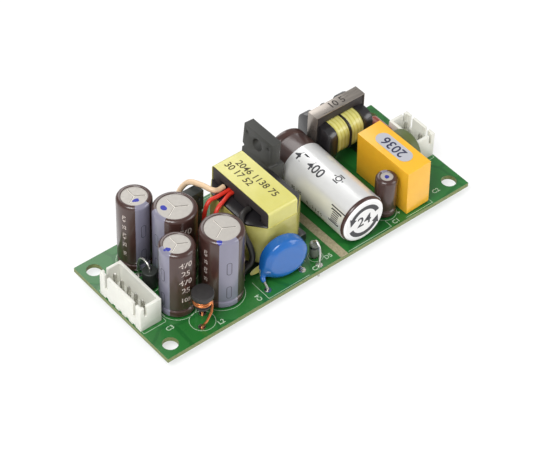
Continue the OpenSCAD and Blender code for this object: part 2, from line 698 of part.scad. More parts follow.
// A cylinder along Z with rounded ends
module pill(h, r, e) {
    rotate_extrude() polygon(concat([[0, 0]], arc(r - e, e, e, -90, 0), arc(r - e, h - e, e, 0, 90), [[0, h]]));
}
module fuse_body() {
    color([0.6, 0.28, 0.22]) difference() {
        translate([fuse_x, fuse_y[0], fuse_z]) rotate([-90, 0, 0]) pill(fuse_y[1] - fuse_y[0], fuse_r, 0.9);
        translate([fuse_x, fuse_y[0] - 1, fuse_z]) rotate([-90, 0, 0]) cylinder(h = 20, r = wire_r);
    }
}
module fuse_leads() {
    color("silver") for (i = [0, 1])
        bent_lead([fuse_x, (fuse_y[0] + fuse_y[1]) / 2, fuse_z], [fuse_x, fuse_lead_y[i], wire_r], 0.55);
}
module inrush_disc() {
    color([0.45, 0.5, 0.3]) difference() {
        translate([inrush[0] - inrush_t / 2, inrush[1], inrush[2]]) rotate([0, 90, 0]) pill(inrush_t, inrush_r, 1.2);
        for (l = leads_at(inrush[0])) lead(l, 4);
    }
}
module inrush_leads() { color("silver") for (l = leads_at(inrush[0])) lead(l, 4); }

// The small drum choke stands on the ends of its own copper wire
drum_post_r = 1.65;
drum_coil_r = 2.0;
module drum_choke_core() {
    color([0.13, 0.13, 0.13]) translate([drum[0], drum[1], 0]) {
        translate([0, 0, drum_top - 1.4]) cylinder(h = 1.4, r = 2.5);
        translate([0, 0, 6.8]) cylinder(h = drum_top - 1.4 - 6.8, r = drum_post_r);
        translate([0, 0, 6.2]) cylinder(h = 0.6, r = 1.9);
    }
}
module drum_choke_winding() {
    z0 = 8.85;
    rise = 0.64;
    turn = 841;
    coil = [for (i = [0:35]) let (a = 80 - turn * i / 35)
        [drum[0] + drum_coil_r * cos(a), drum[1] + drum_coil_r * sin(a), z0 - rise * turn / 360 * i / 35]];
    color([0.75, 0.42, 0.2]) sweep(concat(
        [[drum_lead[1][0], drum_lead[1][1], bottom_z], [drum_lead[1][0], drum_lead[1][1], 7.4],
            [-30.5, -10.95, 8.3]], coil,
        [[-30.9, -15.3, 5.6], [-32.3, -15.4, 3.4], [drum_lead[0][0], drum_lead[0][1] - 0.5, 2.1],
            [drum_lead[0][0], drum_lead[0][1], 1.5], [drum_lead[0][0], drum_lead[0][1], bottom_z]]),
        wire_r, [0.6, 0.5, 1]);
}

module bead() {
    color([0.15, 0.16, 0.15]) translate([bead_at[0], bead_at[1], top_z + 0.3]) difference() {
        pill(4.6, 1.75, 0.3);
        translate([0, 0, -1]) cylinder(h = 8, r = wire_r);
    }
}
module bead_wire() {
    x = bead_at[0];
    y = bead_at[1];
    color("silver") sweep(concat([[x, bead_return_y, bottom_z]], smooth([[x, bead_return_y, 1.3],
        [x, bead_return_y + 0.05, 4.3], [x, bead_return_y - 0.5, 6.6], [x, y + 2.5, 7.8],
        [x, y + 1.0, 7.6], [x, y + 0.1, 6.8], [x, y, 5.8]]), [[x, y, bottom_z]]), wire_r);
}

module diode_body() {
    color([0.35, 0.37, 0.33]) translate([diode_at[0], diode_at[1], 1.7]) difference() {
        pill(3.9, 1.15, 0.35);
        translate([0, 0, -1]) cylinder(h = 8, r = wire_r);
    }
}
module diode_leads() {
    x = diode_at[0];
    y = diode_at[1];
    color("silver") sweep(concat([[x, y, bottom_z], [x, y, 5.4]], smooth([[x, y, 5.9],
        [x - 0.1, y - 0.7, 6.7], [x - 0.3, y - 2.0, 5.9], [x - 0.6, y - 2.7, 4.2],
        [diode_return[0], diode_return[1], 2.6]]), [[diode_return[0], diode_return[1], bottom_z]]),
        wire_r, [1, 0, 0]);
}

// A surface mounted part under the board: body l by w by h with n leads along each long side
module under_part(l, w, h, n, pitch, reach) {
    stand = 0.1;
    translate([-l / 2, -w / 2, -h]) cube([l, w, h - stand]);
    for (s = [0, 1], i = [0:n - 1]) mirror([0, s, 0]) translate([(i - (n - 1) / 2) * pitch - 0.2, 0, 0]) {
        translate([0, w / 2, -h / 2 - 0.1]) cube([0.4, (reach - w) / 4, 0.2]);
        translate([0, w / 2 + (reach - w) / 4 - 0.2, -h / 2 - 0.1]) cube([0.4, 0.2, h / 2 + 0.1]);
        translate([0, w / 2 + (reach - w) / 4 - 0.2, -0.2]) cube([0.4, (reach - w) / 4 + 0.2, 0.2]);
    }
}
module bridge_rectifier() {
    color([0.12, 0.12, 0.12]) translate([26.4, -6.4, 0]) under_part(5, 4.4, 1.9, 2, 3.8, 6.6);
}
module controller_chip() {
    color([0.14, 0.14, 0.14]) translate([9, -7, 0]) under_part(4.9, 3.9, 1.55, 4, 1.27, 6);
}
module optocoupler() {
    color([0.16, 0.16, 0.16]) translate([tr_x, 0, 0]) rotate([0, 0, 90]) under_part(3.6, 4.4, 2.0, 2, 2.54, 7);
}
// Chip resistors and capacitors: centre x, centre y, length, width, height, turned or not
chips = [[3.6, -4.6, 2, 1.25, 0.5, 0], [3.6, -2.4, 2, 1.25, 0.5, 0], [13.6, -3.2, 2, 1.25, 0.5, 1],
    [13.6, -7.2, 3.2, 1.6, 0.6, 1], [13.6, -11.4, 3.2, 1.6, 0.6, 1], [9.2, -1.4, 2, 1.25, 0.8, 0],
    [17.8, -2.4, 3.2, 1.6, 0.6, 0], [17.8, -5.2, 3.2, 1.6, 0.6, 0], [-17.8, -3.2, 2, 1.25, 0.5, 1],
    [-20.2, -1.2, 2, 1.25, 0.5, 1], [-9.5, 4.6, 2, 1.25, 0.5, 0], [-3.8, 4.6, 2, 1.25, 0.8, 0]];
module chip_parts() {
    color([0.2, 0.2, 0.22]) for (c = chips)
        translate([c[0], c[1], -c[4] / 2]) cube([c[5] ? c[3] : c[2], c[5] ? c[2] : c[3], c[4]], center = true);
}

board();
solder_joints();
output_header_housing();
output_header_pins();
input_header_housing();
input_header_pins();
output_cap_1_can();
output_cap_2_can();
output_cap_3_can();
output_cap_4_can();
output_cap_1_sleeve();
output_cap_2_sleeve();
output_cap_3_sleeve();
output_cap_4_sleeve();
storage_cap_can();
storage_cap_sleeve();
storage_cap_label();
supply_cap_can();
supply_cap_sleeve();
capacitor_seals();
capacitor_leads();
transformer_core_upper();
transformer_core_lower();
transformer_bobbin();
transformer_winding();
transformer_belly_tape();
transformer_core_tape();
transformer_pins();
flying_lead_beige();
flying_lead_red_1();
flying_lead_red_2();
flying_lead_black();
choke_core();
choke_bobbin();
choke_windings();
choke_clip();
choke_pins();
switch_body();
switch_leads();
rectifier_body();
rectifier_leads();
film_cap_box();
film_cap_leads();
film_cap_sticker();
disc_cap_coating();
disc_cap_leads();
fuse_body();
fuse_leads();
inrush_disc();
inrush_leads();
drum_choke_core();
drum_choke_winding();
bead();
bead_wire();
diode_body();
diode_leads();
bridge_rectifier();
controller_chip();
optocoupler();
chip_parts();
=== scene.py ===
import json
import math
from contextlib import contextmanager

import bmesh
import bpy
from bpy.props import FloatProperty, FloatVectorProperty, PointerProperty
from mathutils import Matrix, Vector


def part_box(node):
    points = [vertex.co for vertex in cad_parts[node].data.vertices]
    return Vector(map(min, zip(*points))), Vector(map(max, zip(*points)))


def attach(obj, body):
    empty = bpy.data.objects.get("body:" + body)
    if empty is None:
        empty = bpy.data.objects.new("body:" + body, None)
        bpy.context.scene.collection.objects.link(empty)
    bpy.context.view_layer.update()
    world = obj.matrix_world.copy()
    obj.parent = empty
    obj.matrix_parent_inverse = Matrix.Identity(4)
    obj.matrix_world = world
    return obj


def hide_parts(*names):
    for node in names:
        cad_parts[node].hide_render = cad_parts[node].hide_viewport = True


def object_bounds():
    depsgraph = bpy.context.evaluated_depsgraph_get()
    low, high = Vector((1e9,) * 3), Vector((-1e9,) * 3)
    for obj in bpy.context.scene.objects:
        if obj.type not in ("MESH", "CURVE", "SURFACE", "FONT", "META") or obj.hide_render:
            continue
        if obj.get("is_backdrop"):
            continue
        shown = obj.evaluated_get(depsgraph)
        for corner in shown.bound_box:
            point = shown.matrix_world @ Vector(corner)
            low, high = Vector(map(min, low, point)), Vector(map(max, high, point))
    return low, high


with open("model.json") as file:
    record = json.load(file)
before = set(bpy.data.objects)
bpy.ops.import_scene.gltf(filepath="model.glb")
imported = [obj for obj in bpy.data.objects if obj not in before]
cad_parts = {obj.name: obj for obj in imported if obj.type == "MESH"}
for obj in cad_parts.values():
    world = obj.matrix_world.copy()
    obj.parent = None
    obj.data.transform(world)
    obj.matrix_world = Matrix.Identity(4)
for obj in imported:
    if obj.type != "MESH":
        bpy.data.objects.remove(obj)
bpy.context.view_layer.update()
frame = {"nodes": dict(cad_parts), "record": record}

bl_info = {
    "name": "Open Frame Power Supply",
    "version": (1, 0, 0),
    "blender": (4, 5, 0),
    "location": "View3D > Sidebar > Power Supply",
    "description": "Dresses a bare power supply board: prints, sleeves, tapes, wires and solder",
    "category": "Object",
}

MM = 0.001
BOARD_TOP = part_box("board")[1].z
PRINT_LIFT = 0.012 * MM  # how far a print stands off its surface
TAIL = -2.3  # where the leads end under the board, in millimetres


# ---------------------------------------------------------------- materials

def shade(color, *factors):
    """The colour made darker or lighter, by one factor or by one for each channel."""
    return [min(1.0, c * f) for c, f in zip(color, factors * (3 // len(factors)))]


class Paint:
    """A material with one principled shader, and the helpers that build its nodes."""

    def __init__(self, name, color, roughness=0.5, metallic=0.0, **sockets):
        self.material = bpy.data.materials.new(name)
        self.material.use_nodes = True
        self.tree = self.material.node_tree
        self.shader = self.tree.nodes["Principled BSDF"]
        self.color = (*color[:3], 1.0)
        self.shader.inputs["Base Color"].default_value = self.color
        self.shader.inputs["Roughness"].default_value = roughness
        self.shader.inputs["Metallic"].default_value = metallic
        for key, value in sockets.items():
            self.shader.inputs[key.replace("_", " ")].default_value = value
        self._where = None

    def add(self, kind, values=(), **settings):
        node = self.tree.nodes.new("ShaderNode" + kind)
        for key, value in settings.items():
            setattr(node, key, value)
        for key, value in dict(values).items():
            if isinstance(value, bpy.types.NodeSocket):
                self.tree.links.new(value, node.inputs[key])
            else:
                node.inputs[key].default_value = value
        return node

    def where(self, centre=(0, 0, 0)):
        """Object coordinates, in metres, about a centre."""
        if self._where is None:
            self._where = self.add("TexCoord").outputs["Object"]
        if not any(centre):
            return self._where
        return self.add("Mapping", {"Vector": self._where, "Location": centre}, vector_type="TEXTURE").outputs[0]

    def axes(self, vector=None):
        return self.add("SeparateXYZ", {0: vector or self.where()}).outputs

    def math(self, operation, a, b=0.0, c=0.0):
        return self.add("Math", {0: a, 1: b, 2: c}, operation=operation).outputs[0]

    def between(self, value, low, high):
        """1 where the value lies between two limits."""
        return self.math("MULTIPLY", self.math("GREATER_THAN", value, low), self.math("LESS_THAN", value, high))

    def noise(self, size, detail=3.0, stretch=None):
        """Noise whose features measure size metres."""
        vector = self.where()
        if stretch:
            vector = self.add("VectorMath", {0: vector, 1: stretch}, operation="MULTIPLY").outputs[0]
        return self.add("TexNoise", {"Vector": vector, "Scale": 1 / size, "Detail": detail}).outputs["Fac"]

    def soft(self, value, low, high, to_low=0.0, to_high=1.0):
        return self.add("MapRange", {0: value, 1: low, 2: high, 3: to_low, 4: to_high}).outputs[0]

    def mix(self, factor, a, b):
        a = a if isinstance(a, bpy.types.NodeSocket) else (*a[:3], 1.0)
        b = b if isinstance(b, bpy.types.NodeSocket) else (*b[:3], 1.0)
        return self.add("Mix", {0: factor, 6: a, 7: b}, data_type="RGBA").outputs[2]

    def paint(self, color):
        self.tree.links.new(color, self.shader.inputs["Base Color"])
        return self

    def gloss(self, value):
        self.tree.links.new(value, self.shader.inputs["Roughness"])
        return self

    def bump(self, height, distance, strength=1.0):
        node = self.add("Bump", {"Height": height, "Distance": distance, "Strength": strength})
        self.tree.links.new(node.outputs[0], self.shader.inputs["Normal"])
        return self

    def mottled(self, size=1.5 * MM, amount=0.12):
        """The colour with a slow drift in brightness."""
        return self.paint(self.mix(self.noise(size), shade(self.color, 1 - amount), shade(self.color, 1 + amount)))

    def marked(self, base, spots, color):
        """Ink dots over the base colour: spots is a list of (centre, radius)."""
        for centre, radius in spots:
            rough = self.math("MULTIPLY", self.math("SUBTRACT", self.noise(1.1 * MM, 4.0), 0.5), 1.6 * radius)
            away = self.add("VectorMath", {0: self.where(centre)}, operation="LENGTH").outputs["Value"]
            inside = self.math("LESS_THAN", self.math("ADD", away, rough), radius)
            base = self.mix(inside, base, color)
        return base


# ---------------------------------------------------------------- pieces

@contextmanager
def editing(mesh):
    """The mesh as a bmesh, written back at the end."""
    bm = bmesh.new()
    bm.from_mesh(mesh)
    yield bm
    bm.to_mesh(mesh)
    bm.free()


def outward(mesh, merge=0.0):
    """A closed shell whose faces point out, with its doubles merged first where a distance is given."""
    with editing(mesh) as bm:
        if merge:
            bmesh.ops.remove_doubles(bm, verts=bm.verts, dist=merge)
        bmesh.ops.recalc_face_normals(bm, faces=bm.faces)
    return mesh


def keep(name, mesh, paint, slot, *replaced):
    """A finished mesh becomes a piece of the object."""
    mesh.name = name
    mesh.materials.clear()
    mesh.materials.append(paint.material)
    piece = bpy.data.objects.new(name, mesh)
    bpy.context.scene.collection.objects.link(piece)
    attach(piece, "root")
    if replaced:
        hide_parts(*replaced)
    return piece


def slot_of(node):
    return next(s["material_slot"] for s in frame["record"]["subparts"] if s["node"] == node)


def repaint(paint, *nodes):
    """The CAD nodes stay as they are and take a finish."""
    for node in nodes:
        for slot in frame["nodes"][node].material_slots:
            slot.material = paint.material


def smooth(mesh, angle=32):
    """Smooth shading that stays crisp along the edges sharper than the angle."""
    with editing(mesh) as bm:
        for face in bm.faces:
            face.smooth = True
        for edge in bm.edges:
            edge.smooth = len(edge.link_faces) == 2 and edge.calc_face_angle(0) < math.radians(angle)
    return mesh


def applied(mesh, *modifiers):
    """The mesh after some modifiers, each given as (type, settings)."""
    worker = bpy.data.objects.new("worker", mesh)
    bpy.context.scene.collection.objects.link(worker)
    for kind, settings in modifiers:
        modifier = worker.modifiers.new(kind, kind)
        for key, value in settings.items():
            setattr(modifier, key, value)
    result = bpy.data.meshes.new_from_object(worker.evaluated_get(bpy.context.evaluated_depsgraph_get()))
    bpy.data.objects.remove(worker)
    return result


def merged_copy(node):
    """A copy of a CAD node's mesh with its loose triangles joined into whole faces."""
    mesh = frame["nodes"][node].data.copy()
    with editing(mesh) as bm:
        bmesh.ops.remove_doubles(bm, verts=bm.verts, dist=1e-6)
        bmesh.ops.dissolve_limit(bm, angle_limit=math.radians(0.4), verts=bm.verts, edges=bm.edges)
    return mesh


def dressed(node, paint, bevel=0.0, segments=2, angle=32):
    """A CAD node with its sharp edges broken and its curves shaded smoothly."""
    mesh = merged_copy(node)
    if bevel:
        mesh = applied(mesh, ("BEVEL", {"width": bevel, "segments": segments, "limit_method": "ANGLE",
                                        "angle_limit": math.radians(30), "use_clamp_overlap": True}))
    return keep(node + "_finish", smooth(mesh, angle), paint, slot_of(node), node)


def join_meshes(name, meshes):
    bm = bmesh.new()
    for mesh in meshes:
        bm.from_mesh(mesh)
    joined = bpy.data.meshes.new(name)
    bm.to_mesh(joined)
    bm.free()
    return joined


def polygon_mesh(name, points, faces):
    mesh = bpy.data.meshes.new(name)
    mesh.from_pydata([tuple(p) for p in points], [], faces)
    mesh.update()
    return mesh


def flat_text(body, height, centre=(0, 0), turn=0.0):
    """A word of plain figures as a flat mesh in millimetres."""
    font = bpy.data.curves.new("figures", "FONT")
    font.body = body
    font.size = height / 0.7
    font.align_x = "CENTER"
    font.align_y = "CENTER"
    font.resolution_u = 3
    font.offset = 0.022 * height
    writer = bpy.data.objects.new("writer", font)
    bpy.context.scene.collection.objects.link(writer)
    mesh = bpy.data.meshes.new_from_object(writer.evaluated_get(bpy.context.evaluated_depsgraph_get()))
    bpy.data.objects.remove(writer)
    mesh.transform(Matrix.Translation((*centre, 0)) @ Matrix.Rotation(math.radians(turn), 4, "Z"))
    return mesh


def ribbon(points, width, closed=False):
    """A flat line of a given width through points in a plane."""
    points = [Vector(p) for p in points]
    count = len(points)
    corners, faces = [], []
    for i, point in enumerate(points):
        before = points[i - 1] if closed or i else point
        after = points[(i + 1) % count] if closed or i < count - 1 else point
        along = [v.normalized() for v in (point - before, after - point) if v.length > 0]
        mean = sum(along, Vector((0, 0))).normalized()
        normal = Vector((-mean.y, mean.x))
        reach = width / 2 / max(0.4, math.sqrt(max(0.0, (1 + along[0].dot(along[-1])) / 2)))
        corners += [point + normal * reach, point - normal * reach]
    for i in range(count if closed else count - 1):
        j = (i + 1) % count
        faces.append((2 * i, 2 * i + 1, 2 * j + 1, 2 * j))
    return polygon_mesh("ribbon", [(c.x, c.y, 0) for c in corners], faces)


def arc(x, y, radius, start, end, steps=24):
    return [(x + radius * math.cos(math.radians(start + (end - start) * i / steps)),
             y + radius * math.sin(math.radians(start + (end - start) * i / steps))) for i in range(steps + 1)]


def rounded(x0, y0, x1, y1, radius, steps=5):
    """Corner points of a rounded rectangle, anticlockwise."""
    left, right, low, high = x0 + radius, x1 - radius, y0 + radius, y1 - radius
    turns = ((right, low, -90), (right, high, 0), (left, high, 90), (left, low, 180))
    return [point for x, y, start in turns for point in arc(x, y, radius, start, start + 90, steps)]


def moved(mesh, place):
    """Each vertex of a flat mesh goes where the function puts it."""
    for vertex in mesh.vertices:
        vertex.co = place(vertex.co.x, vertex.co.y)
    mesh.update()
    return mesh


def revolved(profile, centre, segments=96):
    """A closed profile of (radius, height) pairs turned about a vertical axis; metres."""
    points, faces = [], []
    count = len(profile)
    for s in range(segments):
        a = math.tau * s / segments
        points += [(centre[0] + r * math.cos(a), centre[1] + r * math.sin(a), z) for r, z in profile]
    for s in range(segments):
        t = (s + 1) % segments
        for i in range(count):
            j = (i + 1) % count
            faces.append((s * count + i, t * count + i, t * count + j, s * count + j))
    return outward(polygon_mesh("revolved", points, faces), 1e-7)


# ---------------------------------------------------------------- geometry nodes

def new_tree(name, inputs):
    """An empty geometry node tree with named inputs, and a helper that adds a node."""
    tree = bpy.data.node_groups.new(name, "GeometryNodeTree")
    tree.interface.new_socket("Geometry", in_out="INPUT", socket_type="NodeSocketGeometry")
    for label, kind in inputs:
        tree.interface.new_socket(label, in_out="INPUT", socket_type="NodeSocket" + kind)
    tree.interface.new_socket("Geometry", in_out="OUTPUT", socket_type="NodeSocketGeometry")

    def add(kind, values=(), **settings):
        node = tree.nodes.new(kind)
        for key, value in settings.items():
            setattr(node, key, value)
        for key, value in dict(values).items():
            if isinstance(value, bpy.types.NodeSocket):
                tree.links.new(value, node.inputs[key])
            else:
                node.inputs[key].default_value = value
        return node

    return tree, add, add("NodeGroupInput").outputs


def close_tree(add, geometry, material):
    """Every tree ends in plain, painted, smooth geometry."""
    shaded = add("GeometryNodeSetShadeSmooth", {0: geometry}).outputs[0]
    real = add("GeometryNodeRealizeInstances", {0: shaded}).outputs[0]
    painted = add("GeometryNodeSetMaterial", {"Geometry": real, "Material": material}).outputs[0]
    add("NodeGroupOutput", {0: painted})


def wire_tree():
    """A round wire of a given radius along a curve."""
    tree, add, given = new_tree("Round wire", [("Radius", "Float"), ("Sides", "Int"), ("Material", "Material")])
    ring = add("GeometryNodeCurvePrimitiveCircle", {"Resolution": given["Sides"], "Radius": given["Radius"]})
    body = add("GeometryNodeCurveToMesh", {"Curve": given["Geometry"], "Profile Curve": ring.outputs[0],
                                           "Fill Caps": True})
    close_tree(add, body.outputs[0], given["Material"])
    return tree


def pad_tree():
    """A flat ring round every given point."""
    tree, add, given = new_tree("Pad rings", [("Inner", "Float"), ("Outer", "Float"), ("Height", "Float"),
                                              ("Material", "Material")])
    outer = add("GeometryNodeCurvePrimitiveCircle", {"Resolution": 24, "Radius": given["Outer"]}).outputs[0]
    inner = add("GeometryNodeCurvePrimitiveCircle", {"Resolution": 24, "Radius": given["Inner"]}).outputs[0]
    both = add("GeometryNodeJoinGeometry", {0: outer})
    tree.links.new(inner, both.inputs[0])
    disc = add("GeometryNodeFillCurve", {"Curve": both.outputs[0]}).outputs[0]
    lift = add("ShaderNodeCombineXYZ", {2: given["Height"]}).outputs[0]
    disc = add("GeometryNodeTransform", {"Geometry": disc, "Translation": lift}).outputs[0]
    copies = add("GeometryNodeInstanceOnPoints", {"Points": given["Geometry"], "Instance": disc}).outputs[0]
    close_tree(add, copies, given["Material"])
    return tree


def grown(data, tree, values):
    """The plain mesh that a tree makes from a mesh or a curve."""
    worker = bpy.data.objects.new("worker", data)
    bpy.context.scene.collection.objects.link(worker)
    modifier = worker.modifiers.new("grow", "NODES")
    modifier.node_group = tree
    names = {i.name: i.identifier for i in tree.interface.items_tree if i.in_out == "INPUT"}
    for label, value in values.items():
        modifier[names[label]] = value
    mesh = bpy.data.meshes.new_from_object(worker.evaluated_get(bpy.context.evaluated_depsgraph_get()))
    bpy.data.objects.remove(worker)
    return mesh


def path(points, smooth_path=True, steps=6):
    """A curve through points given in millimetres."""
    curve = bpy.data.curves.new("path", "CURVE")
    curve.dimensions = "3D"
    spots = [Vector(p) * MM for p in points]
    if smooth_path:
        last = len(spots) - 1
        fine = []
        for i in range(last):
            a, b, c, d = spots[max(i - 1, 0)], spots[i], spots[i + 1], spots[min(i + 2, last)]
            for k in range(steps):
                t = k / steps
                fine.append(0.5 * (2 * b + (c - a) * t + (2 * a - 5 * b + 4 * c - d) * t * t
                                   + (3 * b - a - 3 * c + d) * t ** 3))
        spots = fine + [spots[-1]]
    line = curve.splines.new("POLY")
    line.points.add(len(spots) - 1)
    for point, spot in zip(line.points, spots):
        point.co = (*spot, 1)
    return curve


def wire_mesh(points, radius, paint, sides=16, smooth_path=True):
    tree = bpy.data.node_groups.get("Round wire") or wire_tree()
    return grown(path(points, smooth_path), tree, {"Radius": radius, "Sides": sides, "Material": paint.material})


# ---------------------------------------------------------------- sizes and colours a user may change

def tone(red, green, blue):
    """A linear colour from display values of 0 to 255."""
    return tuple(c / 12.92 if c <= 0.04045 else ((c + 0.055) / 1.055) ** 2.4
                 for c in (red / 255, green / 255, blue / 255))


def colour(label, text, value):
    return FloatVectorProperty(name=label, description=text, default=value, subtype="COLOR", min=0, max=1, size=3)


def length(label, text, value):
    return FloatProperty(name=label, description=text, default=value, subtype="DISTANCE", unit="LENGTH", min=0)


class BoardLook(bpy.types.PropertyGroup):
    mask: colour("Solder mask", "Green lacquer over bare laminate", tone(28, 98, 40))
    mask_on_copper: colour("Mask over copper", "Green lacquer over a copper area", tone(38, 110, 46))
    laminate: colour("Laminate", "Bare glass fibre board", tone(168, 158, 128))
    ink: colour("Print", "White printed outlines", tone(176, 198, 172))
    ink_line: length("Line width", "Width of the printed outlines", 0.12 * MM)
    solder: colour("Solder", "Solder and tinned leads", tone(205, 204, 198))


class HeaderLook(bpy.types.PropertyGroup):
    plastic: colour("Plastic", "Moulded header housing", tone(220, 220, 211))
    edge: length("Edge radius", "Radius of the moulded edges", 0.12 * MM)


class CapacitorLook(bpy.types.PropertyGroup):
    sleeve: colour("Sleeve", "Shrink sleeve of the electrolytics", tone(66, 43, 38))
    stripe: colour("Stripe", "Polarity stripe", tone(132, 130, 148))
    print: colour("Sleeve print", "Figures on the sleeve", tone(196, 184, 176))
    can: colour("Can", "Aluminium top of a can", tone(182, 177, 170))
    pen: colour("Pen marks", "Blue inspection dots", tone(40, 48, 150))
    label: colour("Silver label", "Label round the storage capacitor", tone(240, 240, 239))
    label_ink: colour("Label print", "Dark print on the silver label", tone(52, 52, 56))


class TransformerLook(bpy.types.PropertyGroup):
    tape: colour("Tape", "Yellow polyester tape", tone(210, 204, 122))
    ferrite: colour("Ferrite", "Pressed ferrite cores", tone(56, 50, 50))
    resin: colour("Bobbin", "Black moulded bobbins", tone(34, 32, 34))
    corner: length("Corner radius", "Radius of the wrapped core's corners", 0.9 * MM)
    beige: colour("Beige sleeve", "Sleeve of the beige lead", tone(226, 196, 160))
    red: colour("Red sleeve", "Insulation of the red leads", tone(214, 52, 36))
    black: colour("Black sleeve", "Sleeve of the black lead", tone(46, 44, 42))


class FilterLook(bpy.types.PropertyGroup):
    clip: colour("Clip", "Bright steel clip of the choke", tone(172, 164, 156))
    box: colour("Film capacitor", "Yellow moulded box", tone(236, 178, 44))
    sticker: colour("Sticker", "Oval sticker on the film capacitor", tone(176, 177, 184))
    blue: colour("Blue coating", "Coating of the disc capacitor", tone(24, 96, 172))
    green: colour("Green coating", "Coating of the inrush disc", tone(84, 96, 52))
    brown: colour("Fuse sleeve", "Sleeve of the fuse", tone(150, 64, 46))
    copper: colour("Copper", "Enamelled copper wire", tone(214, 128, 72))


class PackageLook(bpy.types.PropertyGroup):
    epoxy: colour("Epoxy", "Moulded power packages", tone(60, 60, 57))
    chips: colour("Chips", "Surface mounted packages", tone(44, 44, 46))
    edge: length("Edge radius", "Radius of the packages' edges", 0.15 * MM)


class StageLook(bpy.types.PropertyGroup):
    floor: colour("Floor", "Floor and backdrop", (1.0, 1.0, 1.0))
    key: FloatProperty(name="Key light", description="Power of the large lamp above", default=2.1, unit="POWER", min=0)
    sky: FloatProperty(name="Sky", description="Brightness of the even light from all sides", default=0.5,
                       subtype="FACTOR", min=0)


LOOKS = {"psu_board": BoardLook, "psu_headers": HeaderLook, "psu_capacitors": CapacitorLook,
         "psu_transformer": TransformerLook, "psu_filter": FilterLook, "psu_packages": PackageLook,
         "psu_stage": StageLook}


# ---------------------------------------------------------------- shared finishes

def tinned():
    paint = Paint("tinned_lead", bpy.context.scene.psu_board.solder, 0.32, 1.0)
    return paint.gloss(paint.soft(paint.noise(0.5 * MM), 0.3, 0.7, 0.22, 0.42))


def plastic(name, color, roughness=0.4, grain=0.02, size=0.25, **sockets):
    """A moulded plastic: faint mottling and a fine grain."""
    paint = Paint(name, color, roughness, **sockets).mottled(2.5 * MM, 0.06)
    return paint.bump(paint.noise(size * MM), grain * MM, 0.5)


def ink(name, color, roughness=0.6):
    paint = Paint(name, color, roughness)
    return paint.mottled(0.4 * MM, 0.1)


def flat_print(name, meshes, height, paint, slot):
    """Flat marks in millimetres laid on a level surface at a height."""
    marks = join_meshes(name, meshes)
    marks.transform(Matrix.Translation((0, 0, height)) @ Matrix.Scale(MM, 4))
    return keep(name, marks, paint, slot)


def once(name, make):
    """A finish that several operators share is made the first time it is asked for."""
    if name not in SHARED:
        SHARED[name] = make()
    return SHARED[name]


SHARED = {}


# ---------------------------------------------------------------- board

LEAD_SPOTS = [  # pads that show on the component side, in millimetres
    (-14.5, -14.8), (-4.5, -14.8), (0.3, -13.2), (-0.5, -16.0), (-32.9, -14.4), (-30.3, -11.3),
    (-34.3, 2.5), (-34.3, 6.7), (-17.4, 15.2), (-18.4, 3.6), (-17.6, 0.6), (-17.1, -8.7),
    (36.8, 2.3), (36.8, 9.9)]
BARE_STRIP = (4.9 * MM, 7.1 * MM)


def board_paint(look):
    paint = Paint("solder_mask", look.mask, 0.3, Coat_Weight=0.25, Coat_Roughness=0.2)
    x, _, z = paint.axes()
    cells = paint.add("TexVoronoi", {"Vector": paint.where(), "Scale": 1 / (9 * MM), "Randomness": 0.75},
                      feature="DISTANCE_TO_EDGE").outputs["Distance"]
    tracks = paint.add("TexVoronoi", {"Vector": paint.where((2 * MM, 1 * MM, 0)), "Scale": 1 / (2.6 * MM),
                                      "Randomness": 0.35}, distance="CHEBYCHEV").outputs["Distance"]
    copper = paint.math("MULTIPLY", paint.soft(cells, 0.03, 0.06), paint.soft(tracks, 0.66, 0.6))
    green = paint.mix(copper, look.mask, look.mask_on_copper)
    drift = paint.noise(9 * MM, 2)
    green = paint.mix(paint.soft(drift, 0.3, 0.8, 0.0, 0.25), green, shade(look.mask, 0.62))
    strip = paint.math("MULTIPLY", paint.between(x, *BARE_STRIP), paint.math("GREATER_THAN", z, BOARD_TOP - 0.05 * MM))
    weave = paint.soft(paint.noise(0.5 * MM, 2, stretch=(1, 1, 8)), 0.35, 0.65)
    bare = paint.mix(weave, shade(look.laminate, 0.72), look.laminate)
    green = paint.mix(strip, green, bare)
    edge = paint.between(z, 0.04 * MM, BOARD_TOP - 0.04 * MM)
    paint.paint(paint.mix(edge, green, paint.mix(weave, tone(96, 110, 60), tone(132, 140, 84))))
    paint.gloss(paint.soft(paint.math("ADD", edge, strip), 0, 1, 0.3, 0.75))
    return paint.bump(paint.math("ADD", copper, paint.math("MULTIPLY", paint.noise(0.6 * MM), 0.25)), 0.03 * MM, 0.6)


